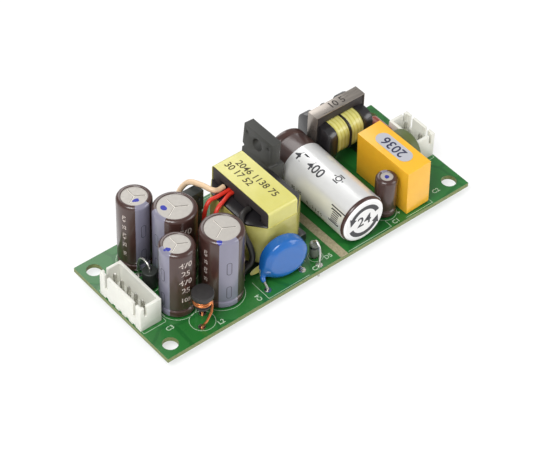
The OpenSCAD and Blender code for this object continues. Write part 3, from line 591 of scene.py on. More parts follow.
class PSU_OT_board(bpy.types.Operator):
    """Finish the board: solder mask, printed outlines, pads and solder"""
    bl_idname = "psu.board"
    bl_label = "Board and prints"

    def execute(self, context):
        scene = context.scene
        look = scene.psu_board
        repaint(board_paint(look), "board")
        solder = Paint("solder_joint", look.solder, 0.25, 1.0)
        solder.gloss(solder.soft(solder.noise(0.6 * MM), 0.3, 0.7, 0.15, 0.4))
        solder.bump(solder.noise(0.8 * MM), 0.05 * MM, 0.5)
        dressed("solder_joints", solder)
        spots = polygon_mesh("spots", [(x * MM, y * MM, 0) for x, y in LEAD_SPOTS], [])
        rings = grown(spots, pad_tree(), {"Inner": 0.31 * MM, "Outer": 0.85 * MM, "Height": BOARD_TOP + PRINT_LIFT,
                                          "Material": solder.material})
        keep("top_pads", rings, solder, "solder")
        self.outlines(look)
        return {"FINISHED"}

    def outlines(self, look):
        """Printed outlines and figures round the parts."""
        width = look.ink_line / MM
        lines = [ribbon([(-15.9, -10.9), (-15.95, -17.0), (-4.2, -17.0)], width),
                 ribbon([(-2.2, -11.0), (-2.2, -13.2)], width),
                 ribbon([(7.6, -16.9), (20.6, -16.9), (20.6, -14.4)], width),
                 ribbon([(25.2, -16.9), (33.4, -16.9), (33.4, 2.2)], width),
                 ribbon(rounded(-44.1, -8.3, -38.0, 8.3, 0.3), width, True),
                 ribbon(rounded(38.0, -5.9, 44.1, 5.7, 0.3), width, True),
                 ribbon([(34.2, 2.0), (34.2, 10.4), (39.4, 10.4), (39.4, 6.4)], width),
                 ribbon([(33.6, -8.6), (38.9, -8.6)], width),
                 ribbon([(0.3, 16.6), (-12.5, 16.6)], width)]
        for x, y, r in ((-32.0, 10.85, 4.45), (-27.0, 2.8, 5.45), (-33.2, -6.0, 4.45), (-23.2, -9.0, 5.45),
                        (22.4, -12.2, 2.95), (-31.7, -13.1, 2.95), (0.6, -13.4, 1.75), (-34.3, 2.5, 2.1)):
            lines.append(ribbon(arc(x, y, r, 0, 360, 48)[:-1], width, True))
        for body, x, y, turn in (("C3", -38.6, -10.4, 0), ("L2", -28.6, -15.9, 0), ("C4", -17.6, -15.4, 90),
                                 ("C7", -1.6, -16.3, 0), ("D5", 2.9, -15.2, 0), ("C1", 22.6, -16.3, 0),
                                 ("1", -37.4, -6.4, 0), ("5", -37.4, 6.6, 0), ("R1", 36.4, -9.6, 0),
                                 ("F1", 40.6, 8.6, 90), ("+", 24.9, -14.6, 0), ("C2", 36.6, -14.6, 0),
                                 ("L1", 15.8, 15.9, 0), ("T1", -14.2, 11.7, 0)):
            lines.append(flat_text(body, 1.15, (x, y), turn))
        for y in (-3.2, -1.6, 0.0, 1.6, 3.2):
            lines.append(ribbon([(-37.7, y), (-37.2, y)], 0.3))
        flat_print("printed_outlines", lines, BOARD_TOP + 0.02 * MM, ink("white_print", look.ink), "board")


# ---------------------------------------------------------------- headers

class PSU_OT_headers(bpy.types.Operator):
    """Finish the two header housings and their pins"""
    bl_idname = "psu.headers"
    bl_label = "Headers"

    def execute(self, context):
        scene = context.scene
        look = scene.psu_headers
        nylon = plastic("white_nylon", look.plastic, 0.38, 0.012, Subsurface_Weight=0.12,
                        Subsurface_Radius=(0.6 * MM, 0.55 * MM, 0.5 * MM), Subsurface_Scale=1.0)
        for node in ("output_header_housing", "input_header_housing"):
            dressed(node, nylon, look.edge)
        lead = once("tinned", tinned)
        repaint(lead, "output_header_pins", "input_header_pins")
        return {"FINISHED"}


# ---------------------------------------------------------------- electrolytic capacitors

class Upright:
    """A standing capacitor: where it is, its radius and heights, read from its solids."""

    def __init__(self, name):
        low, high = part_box(name + "_sleeve")
        self.name = name
        self.centre = ((low.x + high.x) / 2, (low.y + high.y) / 2)
        self.outer = (high.x - low.x) / 2
        self.base, self.top = low.z, high.z
        self.skin = high.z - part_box(name + "_can")[1].z

    def on_side(self, angle):
        """A place function: across the sleeve in millimetres, and up from its base."""
        radius = self.outer + PRINT_LIFT

        def place(across, up):
            a = math.radians(angle) + across * MM / self.outer
            return (self.centre[0] + radius * math.cos(a), self.centre[1] + radius * math.sin(a), self.base + up * MM)
        return place

    def sleeve_profile(self):
        r, t = self.outer - self.skin, self.skin
        low, high = self.base + t, self.top - t

        def side(grow):
            turn_low, turn_high = 0.4 * MM, 0.7 * MM
            groove = [(r + grow - 0.3 * MM * math.sin(math.pi * i / 8) ** 2, low + (1.5 + 0.8 * i / 8) * MM)
                      for i in range(9)]
            return (arc(r - turn_low, low + turn_low, turn_low + grow, -90, 0, 6) + groove
                    + arc(r - turn_high, high - turn_high, turn_high + grow, 0, 90, 8))
        lip = r - 0.9 * MM
        return side(t) + [(lip + 0.1 * MM, self.top), (lip, self.top - 0.08 * MM), (lip, high)] + side(0)[::-1]


def sleeve_paint(look, name, part=None, angle=0.0, half=26.0, dots=()):
    paint = Paint(name, look.sleeve, 0.28, Coat_Weight=0.35, Coat_Roughness=0.12)
    drift = paint.noise(3 * MM, 3, stretch=(1, 1, 0.35))
    base = paint.mix(drift, shade(look.sleeve, 0.8), shade(look.sleeve, 1.22))
    if part:
        x, y, _ = paint.axes(paint.where((*part.centre, 0)))
        bearing = paint.math("ARCTAN2", y, x)
        offset = paint.math("SUBTRACT", bearing, math.radians(angle))
        offset = paint.math("ABSOLUTE", paint.math("WRAP", offset, math.pi, -math.pi))
        band = paint.math("LESS_THAN", offset, math.radians(half))
        base = paint.mix(band, base, paint.mix(drift, shade(look.stripe, 0.85), look.stripe))
    if dots:
        base = paint.marked(base, dots, look.pen)
    paint.paint(base)
    ripples = paint.noise(1.6 * MM, 3, stretch=(1, 1, 0.3))
    return paint.bump(ripples, 0.05 * MM, 0.35)


def can_paint(look, name, dots=(), part=None):
    paint = Paint(name, look.can, 0.42, 0.3)
    base = paint.mix(paint.noise(0.9 * MM, 4), shade(look.can, 0.86), look.can)
    if part:
        x, y, _ = paint.axes(paint.where((*part.centre, 0)))
        # Three vent scores, each drawn as a painted highlight along the score and a painted shade line beside it
        for degrees in (90, 210, 330):
            a = math.radians(degrees)
            (xc, xs), (yc, ys) = ([paint.math("MULTIPLY", v, f) for f in (math.cos(a), math.sin(a))] for v in (x, y))
            along, aside = paint.math("ADD", xc, ys), paint.math("SUBTRACT", yc, xs)
            reach = paint.between(along, 0.0, 0.62 * part.outer)
            base = paint.mix(paint.math("MULTIPLY", reach, paint.between(aside, -0.08 * MM, 0.08 * MM)), base,
                             shade(look.can, 1.7))
            base = paint.mix(paint.math("MULTIPLY", reach, paint.between(aside, 0.08 * MM, 0.2 * MM)), base,
                             shade(look.can, 0.6))
    base = paint.marked(base, dots, look.pen) if dots else base
    paint.paint(base).gloss(paint.soft(paint.noise(0.5 * MM, 4), 0.3, 0.7, 0.32, 0.5))
    return paint.bump(paint.noise(0.25 * MM, 3), 0.02 * MM, 0.4)


# name, angle of the stripe, pen dots (sideways and frontwards in shares of the radius, size in mm)
STRIPES = (("output_cap_1", -98, ((0.13, 0.3, 0.62), (-0.02, 0.38, 0.3))),
           ("output_cap_2", -180, ((-0.46, 0.1, 0.72),)),
           ("output_cap_3", -177, ((-0.42, 0.42, 0.6), (-0.6, 0.5, 0.35))),
           ("output_cap_4", -109, ((-0.05, 0.84, 0.62),)))
VIEW_RIGHT = Vector((0.755, -0.656))
VIEW_FRONT = Vector((-0.656, -0.755))


class PSU_OT_capacitors(bpy.types.Operator):
    """Dress the upright capacitors: sleeves with stripes, figures and pen marks"""
    bl_idname = "psu.capacitors"
    bl_label = "Upright capacitors"

    def execute(self, context):
        scene = context.scene
        look = scene.psu_capacitors
        stripe_ink = ink("stripe_print", shade(look.stripe, 0.32))
        light_ink = ink("sleeve_print", look.print)
        for name, angle, dots in STRIPES:
            part = Upright(name)
            spots = []
            for side, front, size in dots:
                at = Vector(part.centre) + (VIEW_RIGHT * side + VIEW_FRONT * front) * part.outer
                spots.append(((at.x, at.y, part.top - 0.1 * MM), size * MM))
            self.sleeve(look, part, angle, spots)
            repaint(can_paint(look, name + "_top", spots, part), name + "_can")
            self.stripe_marks(part, angle, stripe_ink)
            self.figures(part, angle, light_ink)
        part = Upright("supply_cap")
        spots = [((*part.centre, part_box("supply_cap_can")[1].z), 0.55 * MM)]
        keep("supply_cap_finish", smooth(revolved(part.sleeve_profile(), part.centre, 72)),
             sleeve_paint(look, "supply_sleeve", part, 70, 24), "cap_sleeve", "supply_cap_sleeve")
        repaint(can_paint(look, "supply_cap_top", spots), "supply_cap_can")
        seal = plastic("seal_rubber", tone(30, 30, 30), 0.7)
        repaint(seal, "capacitor_seals")
        repaint(once("tinned", tinned), "capacitor_leads")
        return {"FINISHED"}

    def sleeve(self, look, part, angle, spots):
        keep(part.name + "_finish", smooth(revolved(part.sleeve_profile(), part.centre)),
             sleeve_paint(look, part.name + "_sleeve_paint", part, angle, 26, spots), "cap_sleeve",
             part.name + "_sleeve")

    def stripe_marks(self, part, angle, paint):
        """Long rounded minus signs down the stripe."""
        marks = [moved(ribbon(rounded(-0.55, z, 0.55, z + 3.6, 0.5), 0.16, True), part.on_side(angle))
                 for z in (3.2, 10.6)]
        keep(part.name + "_minus_signs", join_meshes("marks", marks), paint, "cap_sleeve")

    def figures(self, part, angle, paint):
        """Plain figures beside the stripe."""
        wide = part.outer > 4.5 * MM
        rows = [("470", 16.2, 1.5), ("25", 13.6, 1.5), ("470", 10.9, 1.5), ("25", 8.3, 1.5), ("105", 5.4, 1.2)]
        meshes = []
        for body, z, size in rows:
            mesh = flat_text(body, size * (1.15 if wide else 1.0), (0, z))
            meshes.append(moved(mesh, part.on_side(angle + 78)))
            mesh = flat_text(body, size * 0.6, (0, z), 90)
            meshes.append(moved(mesh, part.on_side(angle - 62)))
        keep(part.name + "_figures", join_meshes("figures", meshes), paint, "cap_sleeve")


# ---------------------------------------------------------------- storage capacitor

STORAGE_TURN = math.radians(1.5)
STORAGE_AXIS = Vector((math.sin(STORAGE_TURN), math.cos(STORAGE_TURN), 0))  # towards its base
STORAGE_FRONT = Vector((12.4, -16.2, 7.5)) * MM
STORAGE_R = 6.15 * MM


def storage_place(along, around):
    """A point on the lying can: millimetres back from its front, degrees from the top towards -X."""
    across = Vector((-STORAGE_AXIS.y, STORAGE_AXIS.x, 0))
    a = math.radians(around)
    out = across * math.sin(a) + Vector((0, 0, math.cos(a)))
    return STORAGE_FRONT + STORAGE_AXIS * (along * MM) + out * (STORAGE_R + PRINT_LIFT)


def on_label(around, along):
    """A place function for marks that read along the label, from its back to its front."""
    def place(x, y):
        return storage_place(along - x, around - math.degrees(y * MM / STORAGE_R))
    return place


class PSU_OT_storage(bpy.types.Operator):
    """Dress the lying storage capacitor: sleeve, silver label and end label"""
    bl_idname = "psu.storage"
    bl_label = "Storage capacitor"

    def execute(self, context):
        scene = context.scene
        look = scene.psu_capacitors
        wrap = sleeve_paint(look, "storage_sleeve_paint")
        x, y, z = wrap.axes(wrap.where(tuple(STORAGE_FRONT)))
        away = wrap.math("SQRT", wrap.math("ADD", wrap.math("MULTIPLY", x, x), wrap.math("MULTIPLY", z, z)))
        front = wrap.math("MULTIPLY", wrap.math("LESS_THAN", away, 5.75 * MM), wrap.math("LESS_THAN", y, 2 * MM))
        brown = wrap.shader.inputs["Base Color"].links[0].from_socket
        wrap.paint(wrap.mix(front, brown, look.label))
        dressed("storage_cap_sleeve", wrap, angle=50)
        repaint(can_paint(look, "storage_can_paint"), "storage_cap_can")
        silver = Paint("silver_label", look.label, 0.28, 0.45, Coat_Weight=0.4, Coat_Roughness=0.1)
        silver.paint(silver.mix(silver.noise(2.5 * MM), shade(look.label, 0.9), look.label))
        silver.bump(silver.noise(1.2 * MM), 0.03 * MM, 0.25)
        dressed("storage_cap_label", silver)
        dark = ink("label_print", look.label_ink, 0.45)
        keep("storage_end_marks", self.end_marks(), dark, "label_silver")
        keep("storage_label_marks", self.side_marks(), dark, "label_silver")
        return {"FINISHED"}

    def end_marks(self):
        """A ring of two arrows round a plain figure."""
        flat = []
        for start in (20, 200):
            outer, inner = arc(0, 0, 4.5, start, start + 128), arc(0, 0, 3.35, start, start + 128)
            points = [(*p, 0) for p in outer + inner[::-1]]
            flat.append(polygon_mesh("band", points, [tuple(range(len(points)))]))
            tip = math.radians(start + 158)
            root = math.radians(start + 128)
            head = [(5.1 * math.cos(root), 5.1 * math.sin(root), 0), (2.75 * math.cos(root), 2.75 * math.sin(root), 0),
                    (4.0 * math.cos(tip), 4.0 * math.sin(tip), 0)]
            flat.append(polygon_mesh("head", head[::-1], [(0, 1, 2)]))
        flat.append(flat_text("24", 2.9, (0, 0), 0))
        marks = join_meshes("marks", flat)
        across = Vector((-STORAGE_AXIS.y, STORAGE_AXIS.x, 0))
        front = STORAGE_FRONT - STORAGE_AXIS * PRINT_LIFT
        moved(marks, lambda x, y: front - across * (x * MM) + Vector((0, 0, y * MM)))
        with editing(marks) as bm:
            bmesh.ops.triangulate(bm, faces=bm.faces)
            for face in bm.faces:
                if face.normal.dot(STORAGE_AXIS) > 0:
                    face.normal_flip()
        return marks

    def side_marks(self):
        """Plain blocks, frames and figures along the label."""
        marks = []
        marks.append(moved(ribbon(rounded(-1.6, -1.5, 1.6, 1.5, 0.2), 0.35, True), on_label(74, 3.6)))
        for i in range(5):
            marks.append(moved(ribbon([(-1.1, -1.0 + 0.5 * i), (1.1, -1.0 + 0.5 * i)], 0.24), on_label(74, 3.6)))
        marks.append(moved(ribbon([(-2.4, 0), (2.4, 0)], 0.3), on_label(54, 3.4)))
        marks.append(moved(ribbon(arc(0, 0, 1.35, 0, 360, 6)[:-1], 0.32, True), on_label(2, 9.3)))
        marks.append(moved(ribbon(arc(0, 0, 0.7, 0, 360, 16)[:-1], 0.3, True), on_label(2, 9.3)))
        for body, size, around, along in (("0 1 2 3 4 5", 0.9, 98, 10.5), ("6 7 8 9", 0.9, 114, 9.0),
                                          ("47 400", 2.4, 22, 17.4), ("85 105", 0.9, 90, 17.0)):
            text = flat_text(body, size)
            marks.append(moved(text, on_label(around, along)))
        return join_meshes("marks", marks)


# ---------------------------------------------------------------- transformer

def tape_paint(name, look, thick=0.0, dark=(0.86, 0.85, 0.62)):
    """Thin glossy tape with wraps that show as fine edges and slight wrinkles."""
    paint = Paint(name, look.tape, 0.26, Coat_Weight=0.3, Coat_Roughness=0.15, Subsurface_Weight=0.1,
                  Subsurface_Radius=(0.5 * MM, 0.45 * MM, 0.15 * MM), Subsurface_Scale=1.0)
    drift = paint.noise(4 * MM, 3)
    paint.paint(paint.mix(drift, shade(look.tape, *dark), look.tape))
    wrinkle = paint.noise(1.8 * MM, 4, stretch=(1, 1, 0.4))
    return paint.bump(wrinkle, (0.12 + thick) * MM, 0.4)


def ring_band(outline, low, high, thickness, bulge=0.0, steps=10):
    """An upright band of tape along a closed outline in millimetres, with a soft bulge at mid height."""
    count = len(outline)
    points, faces = [], []
    centre = sum((Vector(p) for p in outline), Vector((0, 0))) / count
    levels = [low + (high - low) * i / steps for i in range(steps + 1)]

    def shell(offset):
        start = len(points)
        for k, z in enumerate(levels):
            swell = bulge * math.sin(math.pi * k / steps)
            for i, p in enumerate(outline):
                a, b = Vector(outline[i - 1]), Vector(outline[(i + 1) % count])
                along = (b - a).normalized()
                normal = Vector((along.y, -along.x))
                if normal.dot(Vector(p) - centre) < 0:
                    normal = -normal
                spot = Vector(p) + normal * (offset + swell)
                points.append((spot.x * MM, spot.y * MM, z * MM))
        return start

    outer, inner = shell(0.0), shell(-thickness)
    for k in range(steps):
        for i in range(count):
            j = (i + 1) % count
            a, b, c, d = (k * count + i, k * count + j, (k + 1) * count + j, (k + 1) * count + i)
            faces.append((outer + a, outer + b, outer + c, outer + d))
            faces.append((inner + d, inner + c, inner + b, inner + a))
    for k, flip in ((0, True), (steps, False)):
        for i in range(count):
            j = (i + 1) % count
            quad = (outer + k * count + i, outer + k * count + j, inner + k * count + j, inner + k * count + i)
            faces.append(quad[::-1] if flip else quad)
    return outward(polygon_mesh("band", points, faces))


def filleted(corners, radius, steps=5):
    """A polygon with its corners rounded, as a list of points in order."""
    points = []
    count = len(corners)
    for i, corner in enumerate(corners):
        p, before, after = Vector(corner), Vector(corners[i - 1]), Vector(corners[(i + 1) % count])
        u, v = (before - p).normalized(), (after - p).normalized()
        half = u.angle(v) / 2
        reach = radius / math.tan(half)
        centre = p + (u + v).normalized() * radius / math.sin(half)
        start, end = p + u * reach, p + v * reach
        for k in range(steps + 1):
            mixed = start.lerp(end, k / steps) - centre
            points.append(tuple(centre + mixed.normalized() * radius))
    return points


FLYING_LEADS = (
    ("flying_lead_beige", 0.65, ((-11.0, 5.6, 15.6), (-12.8, 5.4, 15.7), (-14.2, 5.9, 16.3), (-14.9, 8.8, 16.0),
                                 (-15.8, 11.9, 15.1), (-16.5, 14.0, 12.0), (-17.2, 15.0, 8.0), (-17.4, 15.2, 4.5),
                                 (-17.4, 15.2, 2.0))),
    ("flying_lead_red_1", 0.5, ((-9.5, 4.2, 15.45), (-11.6, 4.1, 15.45), (-14.3, 4.0, 15.55), (-16.1, 4.1, 15.5),
                                (-17.5, 3.8, 14.2), (-18.2, 3.6, 11), (-18.4, 3.6, 6), (-18.4, 3.6, 2.0))),
    ("flying_lead_red_2", 0.5, ((-9.5, 3.1, 15.45), (-11.5, 2.95, 15.45), (-14.0, 2.0, 15.5), (-15.7, 1.5, 15.2),
                                (-16.9, 1.1, 13.8), (-17.5, 0.7, 10), (-17.6, 0.6, 5), (-17.6, 0.6, 2.0))),
    ("flying_lead_black", 0.7, ((-11.0, -3.4, 15.65), (-12.2, -3.6, 15.8), (-13.8, -4.4, 15.9), (-15.2, -5.9, 15.0),
                                (-15.3, -7.0, 13.2), (-14.6, -8.3, 10), (-14.3, -8.9, 7.4), (-14.8, -9.1, 5.6),
                                (-16.2, -8.9, 4.4), (-17.0, -8.7, 3.0), (-17.1, -8.7, 2.0))))


class PSU_OT_transformer(bpy.types.Operator):
    """Finish the transformer: rounded core, bobbin, coil, tapes and plain figures"""
    bl_idname = "psu.transformer"
    bl_label = "Transformer"

    def execute(self, context):
        scene = context.scene
        look = scene.psu_transformer
        ferrite = Paint("ferrite", look.ferrite, 0.62).mottled(1.2 * MM, 0.15)
        ferrite.bump(ferrite.noise(0.2 * MM), 0.02 * MM, 0.5)
        SHARED["ferrite"] = ferrite
        for node in ("transformer_core_upper", "transformer_core_lower"):
            dressed(node, ferrite, 0.6 * MM, 3)
        resin = Paint("black_resin", look.resin, 0.3, Coat_Weight=0.5, Coat_Roughness=0.15).mottled(1.5 * MM, 0.2)
        resin.bump(resin.noise(1.6 * MM, 3), 0.12 * MM, 0.5)
        SHARED["resin"] = resin
        dressed("transformer_bobbin", resin, 0.12 * MM, 1)
        copper = plastic("coil_varnish", tone(120, 66, 34), 0.3)
        repaint(copper, "transformer_winding")
        repaint(once("tinned", tinned), "transformer_pins")
        self.tapes(look)
        self.loose_end(look)
        return {"FINISHED"}

    def tapes(self, look):
        low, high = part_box("transformer_core_tape")
        tape = tape_paint("core_tape_paint", look)
        corner = look.corner / MM
        outline = filleted([(low.y / MM, low.z / MM), (high.y / MM, low.z / MM), (high.y / MM, high.z / MM),
                            (low.y / MM, high.z / MM)], corner)
        band = ring_band(outline, low.x / MM, high.x / MM, 0.15, 0.0, 4)
        for vertex in band.vertices:
            a, b, c = vertex.co
            vertex.co = (c, a, b)
        keep("core_tape", smooth(outward(band)), tape, "yellow_tape", "transformer_core_tape")
        belly = [(-10.9, -10.2), (-2.6, -10.2), (1.6, -6.26), (1.6, 3.86), (-2.6, 10.2), (-10.9, 10.2),
                 (-14.3, 6.26), (-14.3, -6.26)]
        band = ring_band(filleted(belly, 1.4), 3.6, 14.5, 0.15, 0.12)
        keep("coil_tape", smooth(band), tape_paint("coil_tape_paint", look, 0.06, (0.5, 0.46, 0.24)), "yellow_tape",
             "transformer_belly_tape")
        rows = [flat_text("2046 1138 75", 1.75, (1.25, 0), 0), flat_text("30 17 52", 1.75, (-2.4, -2.3), 0)]
        marks = join_meshes("marks", rows)
        marks.transform(Matrix.Rotation(math.radians(-90), 4, "Z"))
        marks.transform(Matrix.Translation(((low.x + high.x) / 2 / MM + 1.0, 1.6, 0)))
        flat_print("core_figures", [marks], high.z + PRINT_LIFT, ink("tape_print", tone(70, 60, 26)), "yellow_tape")

    def loose_end(self, look):
        """A loose end of tape at the foot of the coil."""
        flare = [(-15.9, -9.8), (-13.6, -10.6), (-11.0, -10.35), (-11.4, -9.9), (-13.4, -9.7), (-15.2, -9.2)]
        points = [(x * MM, y * MM, z * MM) for (x, y), z in zip(flare, (2.2, 2.5, 3.0, 4.6, 4.0, 2.9))]
        mesh = polygon_mesh("flare", points, [(0, 1, 4, 5), (1, 2, 3, 4)])
        mesh = applied(mesh, ("SOLIDIFY", {"thickness": 0.12 * MM, "offset": 0}),
                       ("SUBSURF", {"levels": 2, "render_levels": 2}))
        keep("tape_end", smooth(mesh), tape_paint("tape_end_paint", look), "yellow_tape")


class PSU_OT_flying_leads(bpy.types.Operator):
    """Draw the transformer's four sleeved leads along their routes"""
    bl_idname = "psu.flying_leads"
    bl_label = "Flying leads"

    def execute(self, context):
        scene = context.scene
        look = scene.psu_transformer
        paints = {"beige": plastic("beige_sleeve", look.beige, 0.45), "red": plastic("red_sleeve", look.red, 0.35),
                  "black": plastic("black_sleeve", look.black, 0.42)}
        slots = {"beige": "lead_beige", "red": "lead_red", "black": "lead_black"}
        for node, radius, route in FLYING_LEADS:
            hue = node.split("_")[2]
            mesh = wire_mesh(route, radius * MM, paints[hue])
            keep(node + "_sleeve", mesh, paints[hue], slots[hue], node)
            x, y, z = route[-1]
            bare = wire_mesh([(x, y, TAIL), (x, y, z + 0.3)], 0.3 * MM, once("tinned", tinned), 12, False)
            keep(node + "_bare_end", bare, once("tinned", tinned), "tinned_metal")
        return {"FINISHED"}


# ---------------------------------------------------------------- line filter

class PSU_OT_choke(bpy.types.Operator):
    """Finish the common mode choke: core, clip, bobbin and taped coils"""
    bl_idname = "psu.choke"
    bl_label = "Line filter choke"

    def execute(self, context):
        scene = context.scene
        look, tapes = scene.psu_filter, scene.psu_transformer
        steel = Paint("clip_steel", look.clip, 0.34, 0.85)
        grain = steel.noise(0.35 * MM, 3, stretch=(0.12, 1, 1))
        steel.paint(steel.mix(grain, shade(look.clip, 0.72), shade(look.clip, 1.15)))
        steel.gloss(steel.soft(grain, 0.3, 0.7, 0.26, 0.44))
        dressed("choke_clip", steel, 0.12 * MM, 2)
        dressed("choke_core", once("ferrite", lambda: plastic("ferrite", tapes.ferrite)), 0.3 * MM, 2)
        dressed("choke_bobbin", once("resin", lambda: plastic("resin", tapes.resin)), 0.15 * MM, 2)
        tape = tape_paint("coil_wrap", tapes)
        wraps = tape.add("TexWave", {"Vector": tape.where(), "Scale": 320.0, "Distortion": 1.5, "Detail": 2.0},
                         bands_direction="X").outputs["Fac"]
        tape.bump(tape.math("ADD", tape.math("MULTIPLY", wraps, 0.3), tape.noise(1.0 * MM)), 0.05 * MM, 0.4)
        # Painted shade: the tape is darkened in the troughs between its wraps
        dark = shade(tapes.tape, 0.82, 0.78, 0.5)
        tape.paint(tape.mix(tape.soft(wraps, 0.0, 0.5), dark, tapes.tape))
        dressed("choke_windings", tape, 0.3 * MM, 2, 50)
        repaint(once("tinned", tinned), "choke_pins")
        low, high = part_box("choke_clip")
        figures = flat_text("10 5", 1.9, (((low.x + high.x) / 2) / MM, ((low.y + high.y) / 2) / MM))
        flat_print("clip_figures", [figures], high.z + PRINT_LIFT, ink("clip_print", tone(60, 54, 50)), "clip_steel")
        return {"FINISHED"}


FILM_LEAN = math.radians(2.5)


class PSU_OT_filter_parts(bpy.types.Operator):
    """Finish the film and disc capacitors, the fuse and the inrush disc"""
    bl_idname = "psu.filter_parts"
    bl_label = "Filter parts"

    def execute(self, context):
        scene = context.scene
        look = scene.psu_filter
        box = plastic("film_box", look.box, 0.3, 0.03, 0.5, Coat_Weight=0.2, Coat_Roughness=0.2,
                      Subsurface_Weight=0.08, Subsurface_Radius=(0.8 * MM, 0.4 * MM, 0.1 * MM), Subsurface_Scale=1.0)
        dressed("film_cap_box", box, 0.7 * MM, 4)
        sticker = plastic("sticker_paper", look.sticker, 0.5)
        dressed("film_cap_sticker", sticker, 0.03 * MM, 1)
        low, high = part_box("film_cap_sticker")
        figures = flat_text("2036", 2.5, (0, 0), 90)
        centre = Vector(((low.x + high.x) / 2, (low.y + high.y) / 2, (low.z + high.z) / 2 + 0.065 * MM))
        moved(figures, lambda x, y: centre + Vector((x * math.cos(FILM_LEAN), y, x * math.sin(FILM_LEAN))) * MM)
        keep("sticker_figures", figures, ink("sticker_print", tone(40, 40, 70)), "sticker")
        self.disc(look)
        brown = plastic("fuse_sleeve", look.brown, 0.32, Coat_Weight=0.2)
        dressed("fuse_body", brown, 0.0, 2, 40)
        green = plastic("inrush_coating", look.green, 0.5, 0.04, 0.6)
        dressed("inrush_disc", green, 0.0, 2, 60)
        repaint(once("tinned", tinned), "film_cap_leads", "disc_cap_leads", "fuse_leads", "inrush_leads")
        return {"FINISHED"}

    def disc(self, look):
        """The dipped coating, rounded as a liquid leaves it."""
        blue = plastic("dipped_blue", look.blue, 0.24, 0.03, 0.9, Coat_Weight=0.4, Coat_Roughness=0.08)
        feet = [wire_mesh(route, 0.62 * MM, blue, 12) for route in
                (((-12.6, -12.2, 5.2), (-13.7, -12.1, 4.2), (-14.4, -12.7, 3.3), (-14.5, -13.6, 2.7)),
                 ((-4.9, -13.7, 5.4), (-4.6, -13.8, 4.4), (-4.5, -14.1, 3.4), (-4.5, -14.5, 2.8)))]
        mesh = applied(join_meshes("coating", [merged_copy("disc_cap_coating"), *feet]),
                       ("REMESH", {"mode": "VOXEL", "voxel_size": 0.22 * MM, "use_smooth_shade": True}),
                       ("SMOOTH", {"factor": 0.5, "iterations": 14}))
        keep("disc_coating", smooth(mesh, 60), blue, "disc_blue", "disc_cap_coating")


# ---------------------------------------------------------------- packages and small parts

class PSU_OT_packages(bpy.types.Operator):
    """Finish the two power packages and the chips under the board"""
    bl_idname = "psu.packages"
    bl_label = "Packages"

    def execute(self, context):
        scene = context.scene
        look = scene.psu_packages
        epoxy = plastic("moulded_epoxy", look.epoxy, 0.55, 0.02, 0.15)
        dressed("switch_body", epoxy, look.edge)
        dark = plastic("dark_epoxy", tone(50, 54, 52), 0.5, 0.02, 0.15)
        dressed("rectifier_body", dark, look.edge)
        chips = Paint("chip_epoxy", look.chips, 0.5)
        chips.bump(chips.noise(0.12 * MM), 0.015 * MM, 0.5)
        for node in ("bridge_rectifier", "controller_chip", "optocoupler"):
            dressed(node, chips, 0.05 * MM, 1)
        dressed("chip_parts", plastic("chip_resistor", tone(38, 36, 40), 0.45), 0.04 * MM, 1)
        repaint(once("tinned", tinned), "switch_leads", "rectifier_leads")
        return {"FINISHED"}


